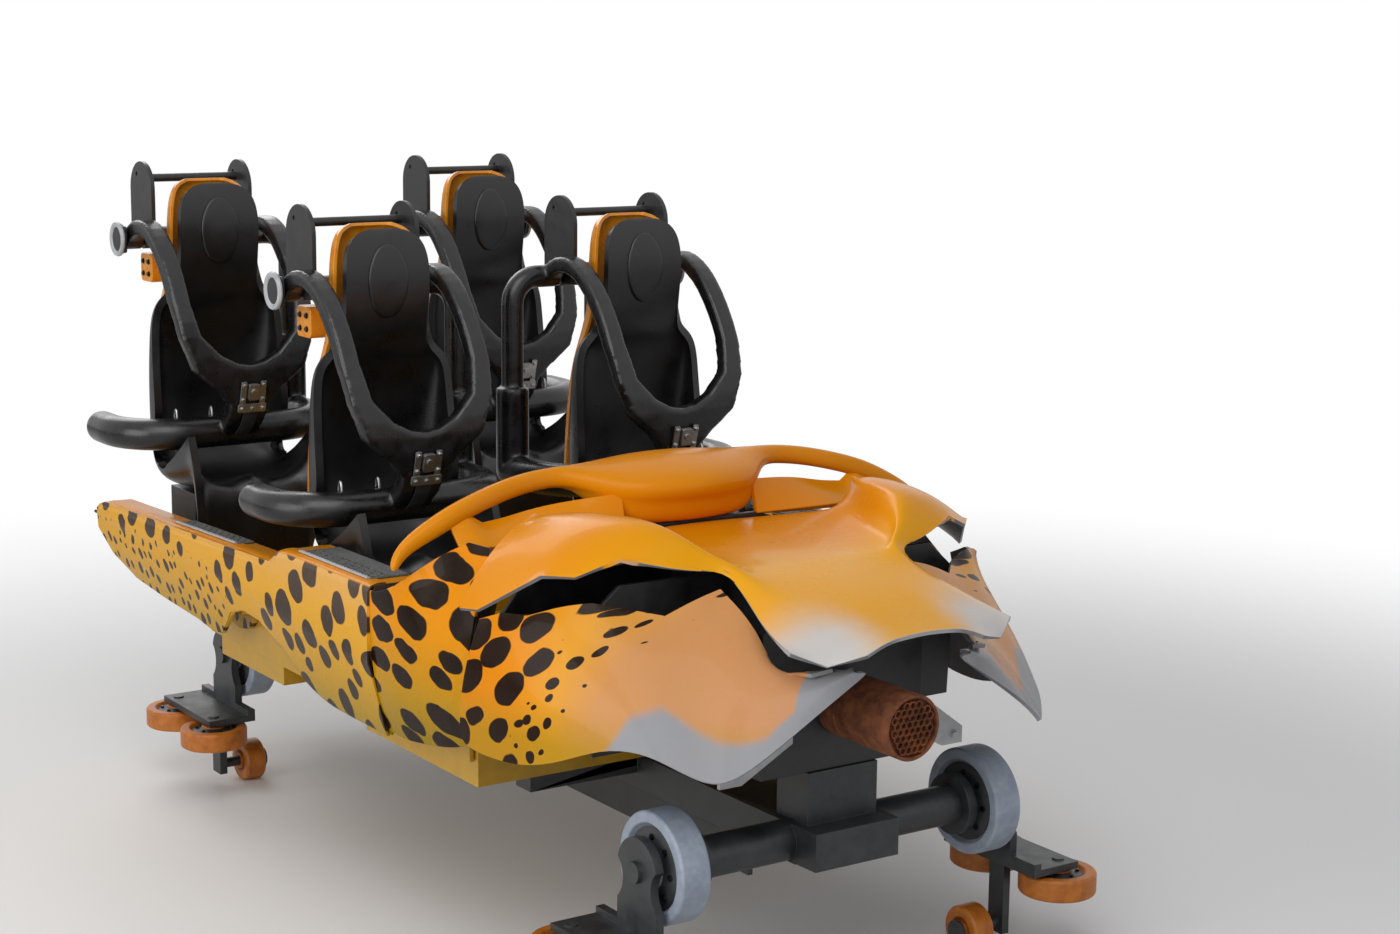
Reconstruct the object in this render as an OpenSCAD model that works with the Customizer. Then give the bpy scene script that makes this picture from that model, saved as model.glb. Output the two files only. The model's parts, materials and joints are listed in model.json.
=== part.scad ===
// Lead car of a roller coaster train: two rows of two seats, a sculpted nose and four wheel carriers.
// X points forward, Y to the riders' left and Z up. The floor z = 0 is the lowest point of the up-stop wheels,
// and x = 0 lies halfway along the car.

/* [Running gear] */
// Diameter of a running wheel on top of the rail
run_d = 260; // [220:5:290]
// Width of a running wheel
run_w = 78; // [60:2:90]
// Diameter of a guide wheel beside the rail
guide_d = 190; // [150:5:200]
// Width of a guide wheel
guide_w = 56; // [40:2:64]
// Diameter of an up-stop wheel under the rail
upstop_d = 120; // [100:5:130]
// Width of an up-stop wheel
upstop_w = 60; // [40:2:70]
// Diameter of the rail tube that the wheels embrace
rail_d = 140; // [130:5:150]
// Distance between the middles of the two rails
gauge = 900; // [880:10:920]
// Place of the front axle along the car
front_axle_x = 1215; // [1190:5:1230]
// Place of the rear axle along the car
rear_axle_x = -1020; // [-1040:5:-1000]
// Diameter of the stub axles
axle_d = 50; // [40:1:56]
// Distance of each guide wheel's pin ahead of or behind the axle
guide_dx = 128; // [126:1:140]

/* [Chassis] */
// Width of the central box beam
spine_w = 240; // [180:10:300]
// Height of the central box beam
spine_h = 90; // [70:5:100]
// Diameter of the cross tubes that carry the wheel carriers
cross_d = 96; // [80:2:110]
// Radius of the bore in the rear coupling eye
coupler_r = 20; // [16:1:24]
// Height of the rear coupling eye
coupler_h = 60; // [50:5:80]

/* [Seats] */
// Sideways spacing of the front pair of seats
seat_pitch_front = 800; // [790:5:820]
// Sideways spacing of the rear pair of seats, which look past the front pair
seat_pitch_rear = 904; // [890:2:910]
// Place of the front headrests along the car
front_row_x = -200; // [-220:5:-180]
// Distance between the two rows
row_pitch = 960; // [940:5:1000]
// Height of the front headrest tops above the floor
head_z = 1700; // [1690:5:1720]
// How much higher the rear row sits
row_rise = 64; // [40:2:80]
// Half width of the seat shell over its hips
seat_hw = 185; // [178:1:188]
// Thickness of the moulded seat shell
seat_wall = 22; // [16:1:24]

/* [Restraints] */
// Diameter of the shaft that the restraint turns on
pivot_d = 32; // [26:1:36]
// Running clearance around that shaft
pivot_gap = 0.1; // [0.05:0.05:0.1]
// Diameter of the padded lap roll
roll_d = 90; // [80:2:94]
// Diameter of the rigid side tube
tube_d = 60; // [50:2:64]
// Width of each shoulder arm
arm_w = 52; // [44:1:54]
// Thickness of the shoulder arms and of the yoke
arm_t = 42; // [30:1:46]

/* [Body] */
// Half width of the car over its sills
body_hw = 752; // [740:2:756]
// Width of each sill's top
sill_w = 140; // [120:2:142]
// Height of the front sills' top
sill_z = 900; // [890:5:910]
// Thickness of the moulded body panels
panel_t = 18; // [12:1:22]
// Height of the deck under the seats
deck_z = 560; // [550:2:566]
// Height of the footwell floor
foot_z = 450; // [440:2:470]
// Thickness of the floor plates
floor_t = 12; // [8:1:14]
// Diameter of the crash buffer in the nose
buffer_d = 152; // [130:2:170]
// Length of the crash buffer
buffer_l = 250; // [200:5:260]

/* [Hidden] */
$fn = 64;

// Sides of the car as signs of y
R = -1;
L = 1;
rail_y = gauge / 2;
rail_top = upstop_d + rail_d;
rail_mid = upstop_d + rail_d / 2;
run_z = rail_top + run_d / 2;
guide_y = rail_y + rail_d / 2 + guide_d / 2;
row_x = [front_row_x, front_row_x - row_pitch];
row_y = [seat_pitch_front / 2, seat_pitch_rear / 2];
row_z = [head_z, head_z + row_rise];
fit = 0.3;
bearing_gap = 0.1;

// Curve through a list of points: the Catmull-Rom spline, n steps between two neighbours
function spline(p, n) = [
    for (i = [0:len(p) - 2]) for (k = [0:n - 1])
        let (a = p[max(i - 1, 0)], b = p[i], c = p[i + 1], d = p[min(i + 2, len(p) - 1)], t = k / n)
        0.5 * (2 * b + (c - a) * t + (2 * a - 5 * b + 4 * c - d) * t * t + (3 * b - 3 * c + d - a) * t * t * t),
    p[len(p) - 1]];
function unit(v) = v / max(norm(v), 1e-9);
function flip(points) = [for (i = [len(points) - 1:-1:0]) points[i]];
// Band of width w along an open plane line, as a closed outline
function band(line, w) = let (
    m = len(line) - 1,
    side = [for (i = [0:m]) let (t = unit(line[min(i + 1, m)] - line[max(i - 1, 0)])) [-t[1], t[0]]])
    concat([for (i = [0:m]) line[i] + side[i] * w / 2], flip([for (i = [0:m]) line[i] - side[i] * w / 2]));

// Points a depth t behind a grid of points; rows run one way and columns the other
function behind(grid, t) = let (m = len(grid), n = len(grid[0]))
    [for (i = [0:m - 1]) [for (j = [0:n - 1])
        grid[i][j] - t * unit(cross(grid[min(i + 1, m - 1)][j] - grid[max(i - 1, 0)][j],
                                    grid[i][min(j + 1, n - 1)] - grid[i][max(j - 1, 0)]))]];
// Curved sheet of even thickness t behind a grid
module sheet(grid, t) { slab(grid, behind(grid, t)); }
// Everything between the depth t behind a grid and a level on an axis
module room_behind(grid, t, axis, level) {
    near = behind(grid, t);
    slab(near, [for (r = near) [for (p = r) onto(p, axis, level)]]);
}
// Closed solid between two grids of the same size
module slab(front_grid, back_grid) {
    m = len(front_grid);
    n = len(front_grid[0]);
    front = [for (r = front_grid) each r];
    back = [for (r = back_grid) each r];
    k = m * n;
    rim = concat([for (j = [0:n - 1]) j], [for (i = [1:m - 1]) i * n + n - 1],
                 [for (j = [n - 2:-1:0]) (m - 1) * n + j], [for (i = [m - 2:-1:1]) i * n]);
    c = len(rim);
    faces = concat(
        [for (i = [0:m - 2]) for (j = [0:n - 2]) let (a = i * n + j)
            each [[a, a + 1, a + n + 1], [a, a + n + 1, a + n]]],
        [for (i = [0:m - 2]) for (j = [0:n - 2]) let (a = k + i * n + j)
            each [[a, a + n + 1, a + 1], [a, a + n, a + n + 1]]],
        [for (i = [0:c - 1]) let (a = rim[i], b = rim[(i + 1) % c]) each [[a, a + k, b + k], [a, b + k, b]]]);
    polyhedron(concat(front, back), faces);
}
// Flat plate in the XZ plane with its faces at y0 and y1
module xz_plate(y0, y1) {
    translate([0, max(y0, y1), 0]) rotate([90, 0, 0]) linear_extrude(abs(y1 - y0)) children();
}
// Outline in the YZ plane pushed along X from x0 to x1
module yz_prism(x0, x1) {
    translate([x0, 0, 0]) rotate([90, 0, 90]) linear_extrude(x1 - x0) children();
}
// Round bar along Y from y0 to y1
module bar_y(d, y0, y1) {
    translate([0, min(y0, y1), 0]) rotate([-90, 0, 0]) cylinder(d = d, h = abs(y1 - y0));
}
module box(x0, x1, y0, y1, z0, z1) {
    translate([x0, min(y0, y1), z0]) cube([x1 - x0, abs(y1 - y0), z1 - z0]);
}
module both_sides() {
    children();
    mirror([0, 1, 0]) children();
}

// Chassis: box beam, cross tubes, magnet fins below and the rear coupling eye
spine_z = run_z - spine_h / 2;
spine_x0 = rear_axle_x - 330;
spine_x1 = front_axle_x + 120;
nose_x = 1560;
coupler_r_out = 50;
coupler_x = coupler_r_out - nose_x;
fin_t = 14;
module chassis() {
    color("#2f3133") difference() {
        union() {
            box(spine_x0, spine_x1, -spine_w / 2, spine_w / 2, spine_z, spine_z + spine_h);
            for (x = [front_axle_x, rear_axle_x])
                translate([x, 0, run_z]) bar_y(cross_d, -knuckle_y, knuckle_y);
            for (w = wells) for (x = [w[0] + 60, w[1] - 60])
                box(x - 35, x + 35, -430, 430, foot_z - floor_t - 50 - fit, foot_z - floor_t - fit);
            box(coupler_x, spine_x0 + 10, -45, 45, run_z - coupler_h / 2, run_z + coupler_h / 2);
            translate([coupler_x, 0, run_z - coupler_h / 2]) cylinder(r = coupler_r_out, h = coupler_h);
            for (y = [-70, 70])
                box(rear_axle_x + 200, front_axle_x - 200, y - fin_t / 2, y + fin_t / 2,
                    spine_z - 110, spine_z + 5);
            box(rear_axle_x - 60, rear_axle_x + 60, -100, 100, run_z, deck_z - floor_t - fit);
            box(front_axle_x - 60, front_axle_x + 60, -100, 100, run_z, deck_z);
        }
        translate([coupler_x, 0, run_z - coupler_h]) cylinder(r = coupler_r, h = 2 * coupler_h);
    }
}

// Floor: deck under the seats with a sunk footwell in front of each row
well_hw = 596;
wells = [[-850, -460], [60, 620]];
deck_x0 = -1402;
deck_x1 = 690;
tub_hw = body_hw - sill_w - fit;
tub_sides = [ // x from, x to, z from, z to of the wall that the side panels hang on
    [deck_x0, -900, deck_z - floor_t, 648], [-900, 620, 500, 700]];
module floor_tub() {
    color("#c9920f") difference() {
        union() {
            box(deck_x0, deck_x1, -tub_hw, tub_hw, deck_z - floor_t, deck_z);
            for (w = wells)
                box(w[0] - floor_t, w[1] + floor_t, -well_hw, well_hw, foot_z - floor_t, deck_z);
            both_sides() for (w = tub_sides) box(w[0], w[1], tub_hw - floor_t, tub_hw, w[2], w[3]);
        }
        for (w = wells)
            box(w[0], w[1], -well_hw + floor_t, well_hw - floor_t, foot_z, deck_z + 1);
    }
}

// Firewall between the front footwell and the nose
fire_x = 649.7;
fire_t = 14;
fire_edge = [[560, deck_z + fit], [540, 860], [330, 985], [200, 1029.7]]; // y, z up the edge
module firewall() {
    color("#202020") yz_prism(fire_x - fire_t, fire_x)
        polygon([for (s = [-1, 1]) for (q = s < 0 ? fire_edge : flip(fire_edge)) [s * q[0], q[1]]]);
}

// Side panels: sill box with a swept-up underside, the arch over the rear wheels and a step in its top
side_x0 = -1400;
side_x1 = 380;
step_x = -150;
sill_in = body_hw - sill_w;
rear_sill_in = 668;
flange_z = 652;
side_top = [ // x, z along the top edge
    [side_x0 + 15, sill_z - 95], [side_x0 + 60, sill_z - 82], [step_x - 45, sill_z - 48], [step_x, sill_z - 12],
    [step_x + 40, sill_z - 4], [side_x1, sill_z]];
side_low = [ // x, z along the lower edge
    [side_x1, 520], [60, 520], [-60, 545], [-200, 625], [-300, 672], [-400, 678], [-500, 650], [-600, 570],
    [-660, 560], [-760, 575], [-1000, 590], [-1200, 610], [side_x0 + 60, 660], [side_x0, 735], [side_x0 - 8, 790]];
module sill_section(inner) {
    difference() {
        polygon([[sill_in, flange_z], [inner, flange_z], [inner, sill_z + 20], [body_hw - 24, sill_z + 20],
                 [body_hw, sill_z - 60], [body_hw, sill_z - 170], [body_hw - 34, 620], [body_hw - 60, 500],
                 [sill_in, 500]]);
        polygon([[sill_in + panel_t, flange_z - panel_t], [inner + panel_t, flange_z - panel_t],
                 [inner + panel_t, sill_z - 120], [body_hw - panel_t - 4, sill_z - 120],
                 [body_hw - panel_t, sill_z - 170], [body_hw - 34 - panel_t, 620], [body_hw - 60 - panel_t, 400],
                 [sill_in + panel_t, 400]]);
    }
}
module side_panel(s) {
    color("#e8a81c") mirror([0, s == R ? 1 : 0, 0]) intersection() {
        xz_plate(500, 800) polygon(concat(side_top, side_low));
        union() {
            yz_prism(step_x, side_x1 + 1) sill_section(sill_in);
            yz_prism(side_x0 - 20, step_x) sill_section(rear_sill_in);
        }
    }
}

// Waist panels close the body between the sills and the cheeks
waist = [ // x, y along the top, ahead of the sill
    [side_x1 + fit, body_hw - 12], [side_x1 + 120, body_hw - 70], [625, 640]];
module waist_panels() {
    color("#d99a14") both_sides()
        translate([0, 0, 530]) linear_extrude(360)
            polygon(concat(waist, flip([for (p = waist) p - [min(6, p[0] - waist[0][0]), panel_t]])));
}

// Nose: hood, cheeks and cowl are moulded sheets laid through a few stations
hood_rows = [ // x, centre z, hump y, hump z, shoulder y, shoulder z, edge y, edge z
    [650, 1030, 360, 1095, 560, 1020, 628, 902],
    [780, 1030, 380, 1128, 545, 1060, 612, 932],
    [930, 1015, 370, 1125, 520, 1070, 580, 985],
    [1060, 1000, 340, 1100, 450, 1065, 512, 1015],
    [1180, 985, 300, 1070, 390, 1055, 440, 1040],
    [1250, 975, 270, 1050, 315, 1035, 345, 1020],
    [1380, 956, 230, 995, 290, 980, 312, 960],
    [1490, 942, 190, 945, 270, 920, 312, 892],
    [1560, 934, 110, 925, 150, 910, 182, 893]];
function hood_half(r) = [[r[0], 0, r[1]], [r[0], r[2] * 0.5, r[1] + (r[3] - r[1]) * 0.55], [r[0], r[2], r[3]],
                         [r[0], r[4], r[5]], [r[0], r[6], r[7]]];
function hood_row(r) = let (h = spline(hood_half(r), 2))
    concat(flip([for (i = [1:len(h) - 1]) [h[i][0], -h[i][1], h[i][2]]]), h);
module nose_hood() {
    color("#eda31b") sheet(hood_grid, panel_t);
}
hood_grid = [for (r = spline(hood_rows, 2)) hood_row(r)];

cheek_rows = [ // top x, y, z, then bottom x, y, z
    [[625, 622, 888], [625, 640, 535]],
    [[780, 600, 895], [780, 628, 530]],
    [[930, 566, 945], [890, 612, 545]],
    [[1050, 512, 960], [1000, 600, 590]],
    [[1130, 456, 975], [1090, 585, 655]],
    [[1190, 404, 982], [1160, 572, 686]],
    [[1240, 360, 1000], [1230, 552, 684]],
    [[1285, 335, 975], [1330, 518, 645]],
    [[1380, 322, 925], [1420, 466, 622]],
    [[1470, 310, 865], [1475, 370, 650]],
    [[1516, 250, 850], [1501, 285, 735]],
    [[1544, 185, 872], [1539, 200, 845]]];
cheek_steps = 4;
cheek_bulge = 26;
function cheek_row(r) = [for (i = [0:cheek_steps]) let (t = i / cheek_steps, b = cheek_bulge * 4 * t * (1 - t))
    r[0] * (1 - t) + r[1] * t + [b * 0.4, b, 0]];
module cheek(s) {
    color("#f0b873") mirror([0, s == R ? 1 : 0, 0]) sheet(cheek_grid, panel_t);
}
cheek_grid = [for (r = spline(cheek_rows, 2)) cheek_row(r)];

cowl_rim = [ // x, y, z along the middle of the rim, from a tip to the dash
    [300, 650, 950], [420, 640, 1030], [540, 600, 1100], [640, 510, 1150], [690, 400, 1175], [680, 290, 1175],
    [650, 200, 1160]];
rim_section = [[-34, -14], [-20, -24], [20, -24], [34, -12], [30, 14], [10, 24], [-16, 22], [-34, 8]];
module skin(rings) {
    n = len(rings[0]);
    m = len(rings);
    polyhedron([for (r = rings) each r], concat(
        [[for (i = [0:n - 1]) i], [for (i = [n - 1:-1:0]) (m - 1) * n + i]],
        [for (k = [0:m - 2]) for (i = [0:n - 1]) let (a = k * n + i, b = k * n + (i + 1) % n)
            each [[a, b + n, b], [a, a + n, b + n]]]));
}
function rim_ring(p, i) = let (t = unit(p[min(i + 1, len(p) - 1)] - p[max(i - 1, 0)]),
    side = unit(cross([0, 0, 1], t)), up = cross(t, side), k = min(1, 0.35 + i * 0.13))
    [for (q = rim_section) p[i] + (side * q[0] + up * q[1]) * k];
module cowl() {
    rim = spline(cowl_rim, 2);
    color("#eda31b") {
        both_sides() {
            skin([for (i = [0:len(rim) - 1]) rim_ring(rim, i)]);
            box(335, 362, 634, 654, sill_z + fit, 980);
        }
        intersection() {
            hull() {
                translate([470, 0, 1140]) cylinder(r = 150, h = 60, $fn = 32);
                for (y = [-185, 185]) translate([600, y, 1035]) cylinder(r = 50, h = 120, $fn = 32);
            }
            box(300, 800, -300, 300, 1030, 1200);
        }
    }
}

// Black frame inside the nose that carries the buffer, the hood and the cheeks
buffer_x = 1270;
buffer_z = 712;
frame_z = deck_z + fit;
function onto(p, axis, level) = [for (i = [0:2]) i == axis ? level : p[i]];
module frame_plates() {
    box(660, 1310, -250, 250, frame_z, frame_z + 18);
    for (y = [-150, 136]) box(700, buffer_x - 20, y, y + 14, frame_z, 1100);
    box(buffer_x - 20, buffer_x - fit, -230, 230, frame_z, 880);
    for (x = [770, 1010, 1160]) difference() {
        box(x, x + 12, -640, 640, frame_z, 1100);
        box(x - 1, x + 13, -110, 110, frame_z + 60, 900);
    }
}
module nose_frame() {
    color("#1d1d1d") intersection() {
        frame_plates();
        room_behind(hood_grid, panel_t + fit, 2, 500);
        union() {
            room_behind(cheek_grid, panel_t + fit, 1, -1);
            mirror([0, 1, 0]) room_behind(cheek_grid, panel_t + fit, 1, -1);
        }
    }
}

// Crash buffer: a crushable honeycomb cylinder that faces forward
module crash_buffer() {
    color("#8a4b2a") translate([buffer_x, 0, buffer_z]) rotate([0, 90, 0]) cylinder(d = buffer_d, h = buffer_l);
}

// Grip plates on the sills beside each row
grips = [[-50, 330, sill_in + 4], [-850, -450, rear_sill_in + 4]]; // x from, x to, inner y
grip_t = 6;
module grip_plates() {
    color("#8b8b88") both_sides() for (g = grips)
        xz_plate(g[2], body_hw - 28) polygon([for (q = [[0, fit], [1, fit], [1, grip_t], [0, grip_t]])
            [g[q[0]], lookup(g[q[0]], side_top) + q[1]]]);
}

// Seats: rows of points down the back, round the hips and over the front lip
seat_rows = [ // x, z, way the face looks (degrees above forward), half width as a share, depth of the sides, crest
    [-12, -2, 20, 0.36, 0, 0], [2, -14, 10, 0.56, 0, 0], [12, -60, 0, 0.64, 0, 0], [20, -130, 0, 0.66, 0, 0],
    [14, -205, 0, 0.66, 0, 0], [0, -270, 0, 0.66, 4, 0], [-30, -330, 0, 0.76, 18, 0], [-70, -385, 0, 0.94, 50, 0],
    [-100, -480, 0, 1, 90, 0], [-120, -600, 5, 1.02, 125, 0], [-125, -690, 12, 1.02, 140, 0],
    [-105, -790, 40, 1.02, 140, 0], [-40, -860, 75, 1, 70, 0], [30, -868, 90, 0.98, 50, 0],
    [110, -866, 90, 0.98, 92, 14], [180, -856, 85, 0.98, 122, 44], [212, -876, 45, 0.98, 110, 40],
    [222, -940, 0, 0.92, 30, 0], [218, -1100, 0, 0.84, 8, 0]];
seat_cols = 8;
function seat_row(r) = [for (j = [-seat_cols:seat_cols]) let (
    a = j * 90 / seat_cols, c = abs(cos(a)), s = abs(sin(a)), y = sign(j) * seat_hw * r[3] * pow(s, 0.8),
    off = r[4] * (1 - pow(c, 0.7)) + r[5] * exp(-y * y / 900))
    [r[0] + off * cos(r[2]), y, r[1] + off * sin(r[2])]];
module seat(row, s) {
    color("#242424") translate([row_x[row], s * row_y[row], row_z[row]])
        sheet([for (r = seat_rows) seat_row(r)], seat_wall);
}
base_top = -868 - seat_wall - fit;
module seat_bases() {
    color("#1d1d1d") both_sides() for (i = [0, 1]) translate([row_x[i], row_y[i], 0])
        box(-60, 120, -140, 140, deck_z + fit, row_z[i] + base_top);
}

// Coloured shells round the back of each seat
back_rows = [ // x, z, half width, depth
    [-95, 8, 70, 20], [-112, -6, 118, 60], [-116, -60, 140, 84], [-116, -150, 144, 90], [-122, -250, 144, 84],
    [-140, -330, 158, 70], [-160, -420, 190, 60], [-175, -600, 205, 60], [-178, -760, 205, 50]];
back_cols = 6;
back_t = 10;
function back_row(r) = [for (j = [-back_cols:back_cols]) let (
    a = j * 90 / back_cols, c = abs(cos(a)), s = abs(sin(a)))
    [r[0] + r[3] * (1 - pow(c, 0.6)), sign(j) * r[2] * pow(s, 0.7), r[1]]];
module seat_backs() {
    color("#e39a17") both_sides() for (i = [0, 1])
        translate([row_x[i], row_y[i], row_z[i]]) sheet([for (r = back_rows) back_row(r)], back_t);
}

// Frame behind each head: post, pivot shaft, round-topped fins and the bar between them
pivot_x = -185;
pivot_z = -170;
fin_y = 152;
fin_w = 12;
fin_top = 55;
hub_in = fin_y + fin_w / 2 + 3;
hub_out = hub_in + arm_w;
ring_w = 14;
post_x0 = -240;
post_x1 = -188.3;
module head_frame(row, s) {
    translate([row_x[row], s * row_y[row], row_z[row]]) {
        box(post_x0, post_x1, -40, 40, deck_z + fit - row_z[row], pivot_z);
        translate([pivot_x, 0, pivot_z]) bar_y(pivot_d, s * (hub_out + 22), -s * (hub_out - 4));
        translate([pivot_x - 10, 0, pivot_z]) bar_y(64, -fin_y, fin_y);
        for (y = [-fin_y, fin_y]) xz_plate(y - fin_w / 2, y + fin_w / 2)
            difference() {
                union() {
                    translate([pivot_x, fin_top - 80]) circle(r = 80);
                    translate([pivot_x - 80, pivot_z - 20]) square([160, fin_top - 80 - pivot_z + 20]);
                }
                translate([pivot_x - 30, fin_top - 38]) circle(r = 7);
            }
        translate([pivot_x - 10, 0, fin_top - 50]) bar_y(24, -fin_y, fin_y);
        translate([pivot_x, 0, pivot_z]) bar_y(88, s * (hub_out + 8), s * (hub_out + 22));
    }
}
module head_frames() {
    color("#262626") for (i = [0, 1]) for (s = [R, L]) head_frame(i, s);
}

// Restraint: two shoulder arms that join in a yoke over the belly, a rigid side tube and the lap roll
arm_side = [ // x, z along the middle of an arm, seen from the side
    [pivot_x, pivot_z], [-120, -135], [-40, -136], [50, -190], [135, -300], [190, -430], [200, -560],
    [175, -650], [110, -712]];
yoke_out = [ // y, z down the outer edge of an arm to the yoke's foot
    [hub_out, -60], [hub_out, -330], [hub_out - 12, -430], [hub_out - 45, -520], [95, -580], [60, -620], [52, -720]];
yoke_in = [ // y, z of the opening between the arms
    [hub_in, -60], [hub_in, -330], [hub_in - 16, -420], [90, -478], [40, -505], [0, -512]];
roll_x = 90;
roll_z = -715;
roll_y = 310;
roll_bend = 170;
tube_bend = 75;
sleeve_top = -480;
module restraint(row, s) {
    color("#222222") translate([row_x[row], s * row_y[row], row_z[row]]) mirror([0, s == L ? 1 : 0, 0])
    difference() {
        union() {
            intersection() {
                xz_plate(-300, 300) polygon(band(spline(arm_side, 3), arm_t));
                yz_prism(-400, 400) difference() {
                    polygon(concat(yoke_out, flip([for (p = yoke_out) [-p[0], p[1]]])));
                    polygon(concat(yoke_in, flip([for (p = yoke_in) [-p[0], p[1]]])));
                }
            }
            for (y = [-1, 1]) translate([pivot_x, 0, pivot_z]) bar_y(60, y * hub_in, y * hub_out);
            // Side tube: out from the hub, round a bend and down into its sleeve
            translate([pivot_x, 0, pivot_z]) bar_y(tube_d, hub_out - 1, roll_y - tube_bend);
            translate([pivot_x, roll_y - tube_bend, pivot_z - tube_bend]) rotate([90, 0, 90])
                rotate_extrude(angle = 90) translate([tube_bend, 0]) circle(d = tube_d);
            translate([pivot_x, roll_y, roll_z]) cylinder(d = tube_d, h = pivot_z - tube_bend - roll_z);
            translate([pivot_x, roll_y, roll_z]) cylinder(d = roll_d, h = sleeve_top - roll_z);
            // Lap roll: forward along the hip, across the thighs and back to its free end
            translate([pivot_x, roll_y, roll_z]) sphere(d = roll_d);
            translate([pivot_x, roll_y, roll_z]) rotate([0, 90, 0])
                cylinder(d = roll_d, h = roll_x - roll_bend - pivot_x);
            translate([roll_x - roll_bend, roll_y - roll_bend, roll_z])
                rotate_extrude(angle = 90) translate([roll_bend, 0]) circle(d = roll_d);
            translate([roll_x, 0, roll_z]) bar_y(roll_d, -(roll_y - roll_bend), roll_y - roll_bend);
            translate([roll_x - roll_bend, -(roll_y - roll_bend), roll_z]) rotate([0, 0, -90])
                rotate_extrude(angle = 90) translate([roll_bend, 0]) circle(d = roll_d);
            translate([roll_x - roll_bend - 70, -roll_y, roll_z]) rotate([0, 90, 0]) cylinder(d = roll_d, h = 70);
            translate([roll_x - roll_bend - 70, -roll_y, roll_z]) sphere(d = roll_d);
        }
        translate([pivot_x, 0, pivot_z]) bar_y(pivot_d + 2 * pivot_gap, -hub_out - 5, hub_out - 1);
    }
}

// Wheel carriers: knuckle, stub axle, outer cheek, guide wheel shelf and up-stop web
knuckle_y = rail_y - run_w / 2 - 40;
outer_y = rail_y + run_w / 2 + 14;
plate_t = 22;
web_hw = guide_dx - guide_d / 2 - 6;
shelf_z = rail_mid + guide_w / 2 + 8;
pin_d = 30;
module carrier(x, s) {
    color("#3a3c3e") translate([x, 0, 0]) mirror([0, s == R ? 1 : 0, 0]) difference() {
        union() {
            // knuckle block on the end of the cross tube
            translate([0, 0, run_z]) bar_y(150, knuckle_y + fit, knuckle_y + 26);
            translate([0, 0, run_z]) bar_y(axle_d, knuckle_y + 10, outer_y + plate_t + 12);
            // outer cheek plate with its foot reaching down between the guide wheels
            xz_plate(outer_y, outer_y + plate_t) difference() {
                union() {
                    translate([0, run_z]) circle(r = 78);
                    translate([-78, shelf_z + 16]) square([156, run_z - shelf_z - 16]);
                    translate([-guide_dx - 40, shelf_z]) square([2 * guide_dx + 80, 34]);
                }
                for (k = [-1, 1]) translate([k * 118, run_z - 30]) circle(r = 62);
            }
            // shelf over the guide wheels and their pins
            box(-guide_dx - 40, guide_dx + 40, outer_y, guide_y + 30, shelf_z, shelf_z + 18);
            for (k = [-1, 1]) translate([k * guide_dx, guide_y, rail_mid - guide_w / 2 - 18])
                cylinder(d = pin_d, h = guide_w + 18 + 30);
            for (k = [-1, 1]) translate([k * guide_dx, guide_y, rail_mid - guide_w / 2 - 16])
                cylinder(d = 70, h = 10);
            // web outside the rail and the up-stop axle
            box(-web_hw, web_hw, rail_y + rail_d / 2 + 12, rail_y + rail_d / 2 + 34, upstop_d / 2 - 26, shelf_z + 1);
            box(-web_hw, web_hw, outer_y, rail_y + rail_d / 2 + 34, shelf_z, shelf_z + 18);
            translate([0, 0, upstop_d / 2]) bar_y(pin_d, rail_y - upstop_w / 2 - 16, rail_y + rail_d / 2 + 34);
            translate([0, 0, upstop_d / 2]) bar_y(56, rail_y - upstop_w / 2 - 16, rail_y - upstop_w / 2 - 6);
        }
    }
}

// Wheels: tyre and hub in one piece, bored for the stub axle
module wheel(d, w, bore, hub) {
    difference() {
        rotate_extrude($fn = 96) polygon([
            [bore / 2, -w / 2 - 4], [hub, -w / 2 - 4], [hub, -w / 2 + 12], [d / 2 - 34, -w / 2 + 12],
            [d / 2 - 26, -w / 2], [d / 2 - 5, -w / 2], [d / 2, -w / 2 + 5], [d / 2, w / 2 - 5],
            [d / 2 - 5, w / 2], [d / 2 - 26, w / 2], [d / 2 - 34, w / 2 - 12], [hub, w / 2 - 12],
            [hub, w / 2 + 4], [bore / 2, w / 2 + 4]]);
    }
}
module run_wheel(x, s) {
    color("#9aa2ab") translate([x, s * rail_y, run_z]) rotate([90, 0, 0])
        wheel(run_d, run_w, axle_d + 2 * bearing_gap, 48);
}
module guide_wheel(x, s, k) {
    color("#b4661c") translate([x + k * guide_dx, s * guide_y, rail_mid])
        wheel(guide_d, guide_w, pin_d + 2 * bearing_gap, 34);
}
module upstop_wheel(x, s) {
    color("#b4661c") translate([x, s * rail_y, upstop_d / 2]) rotate([90, 0, 0])
        wheel(upstop_d, upstop_w, pin_d + 2 * bearing_gap, 24);
}

chassis();
floor_tub();
firewall();
side_panel(R);  // side_panel_right
side_panel(L);  // side_panel_left
waist_panels();
cowl();
nose_hood();
cheek(R);  // cheek_right
cheek(L);  // cheek_left
nose_frame();
crash_buffer();
grip_plates();
seat_bases();
seat(0, R);  // seat_front_right
seat(0, L);  // seat_front_left
seat(1, R);  // seat_rear_right
seat(1, L);  // seat_rear_left
seat_backs();
head_frames();
restraint(0, R);  // restraint_front_right
restraint(0, L);  // restraint_front_left
restraint(1, R);  // restraint_rear_right
restraint(1, L);  // restraint_rear_left
carrier(front_axle_x, R);  // carrier_front_right
carrier(front_axle_x, L);  // carrier_front_left
carrier(rear_axle_x, R);  // carrier_rear_right
carrier(rear_axle_x, L);  // carrier_rear_left
run_wheel(front_axle_x, R);  // run_wheel_front_right
run_wheel(front_axle_x, L);  // run_wheel_front_left
run_wheel(rear_axle_x, R);  // run_wheel_rear_right
run_wheel(rear_axle_x, L);  // run_wheel_rear_left
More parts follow.
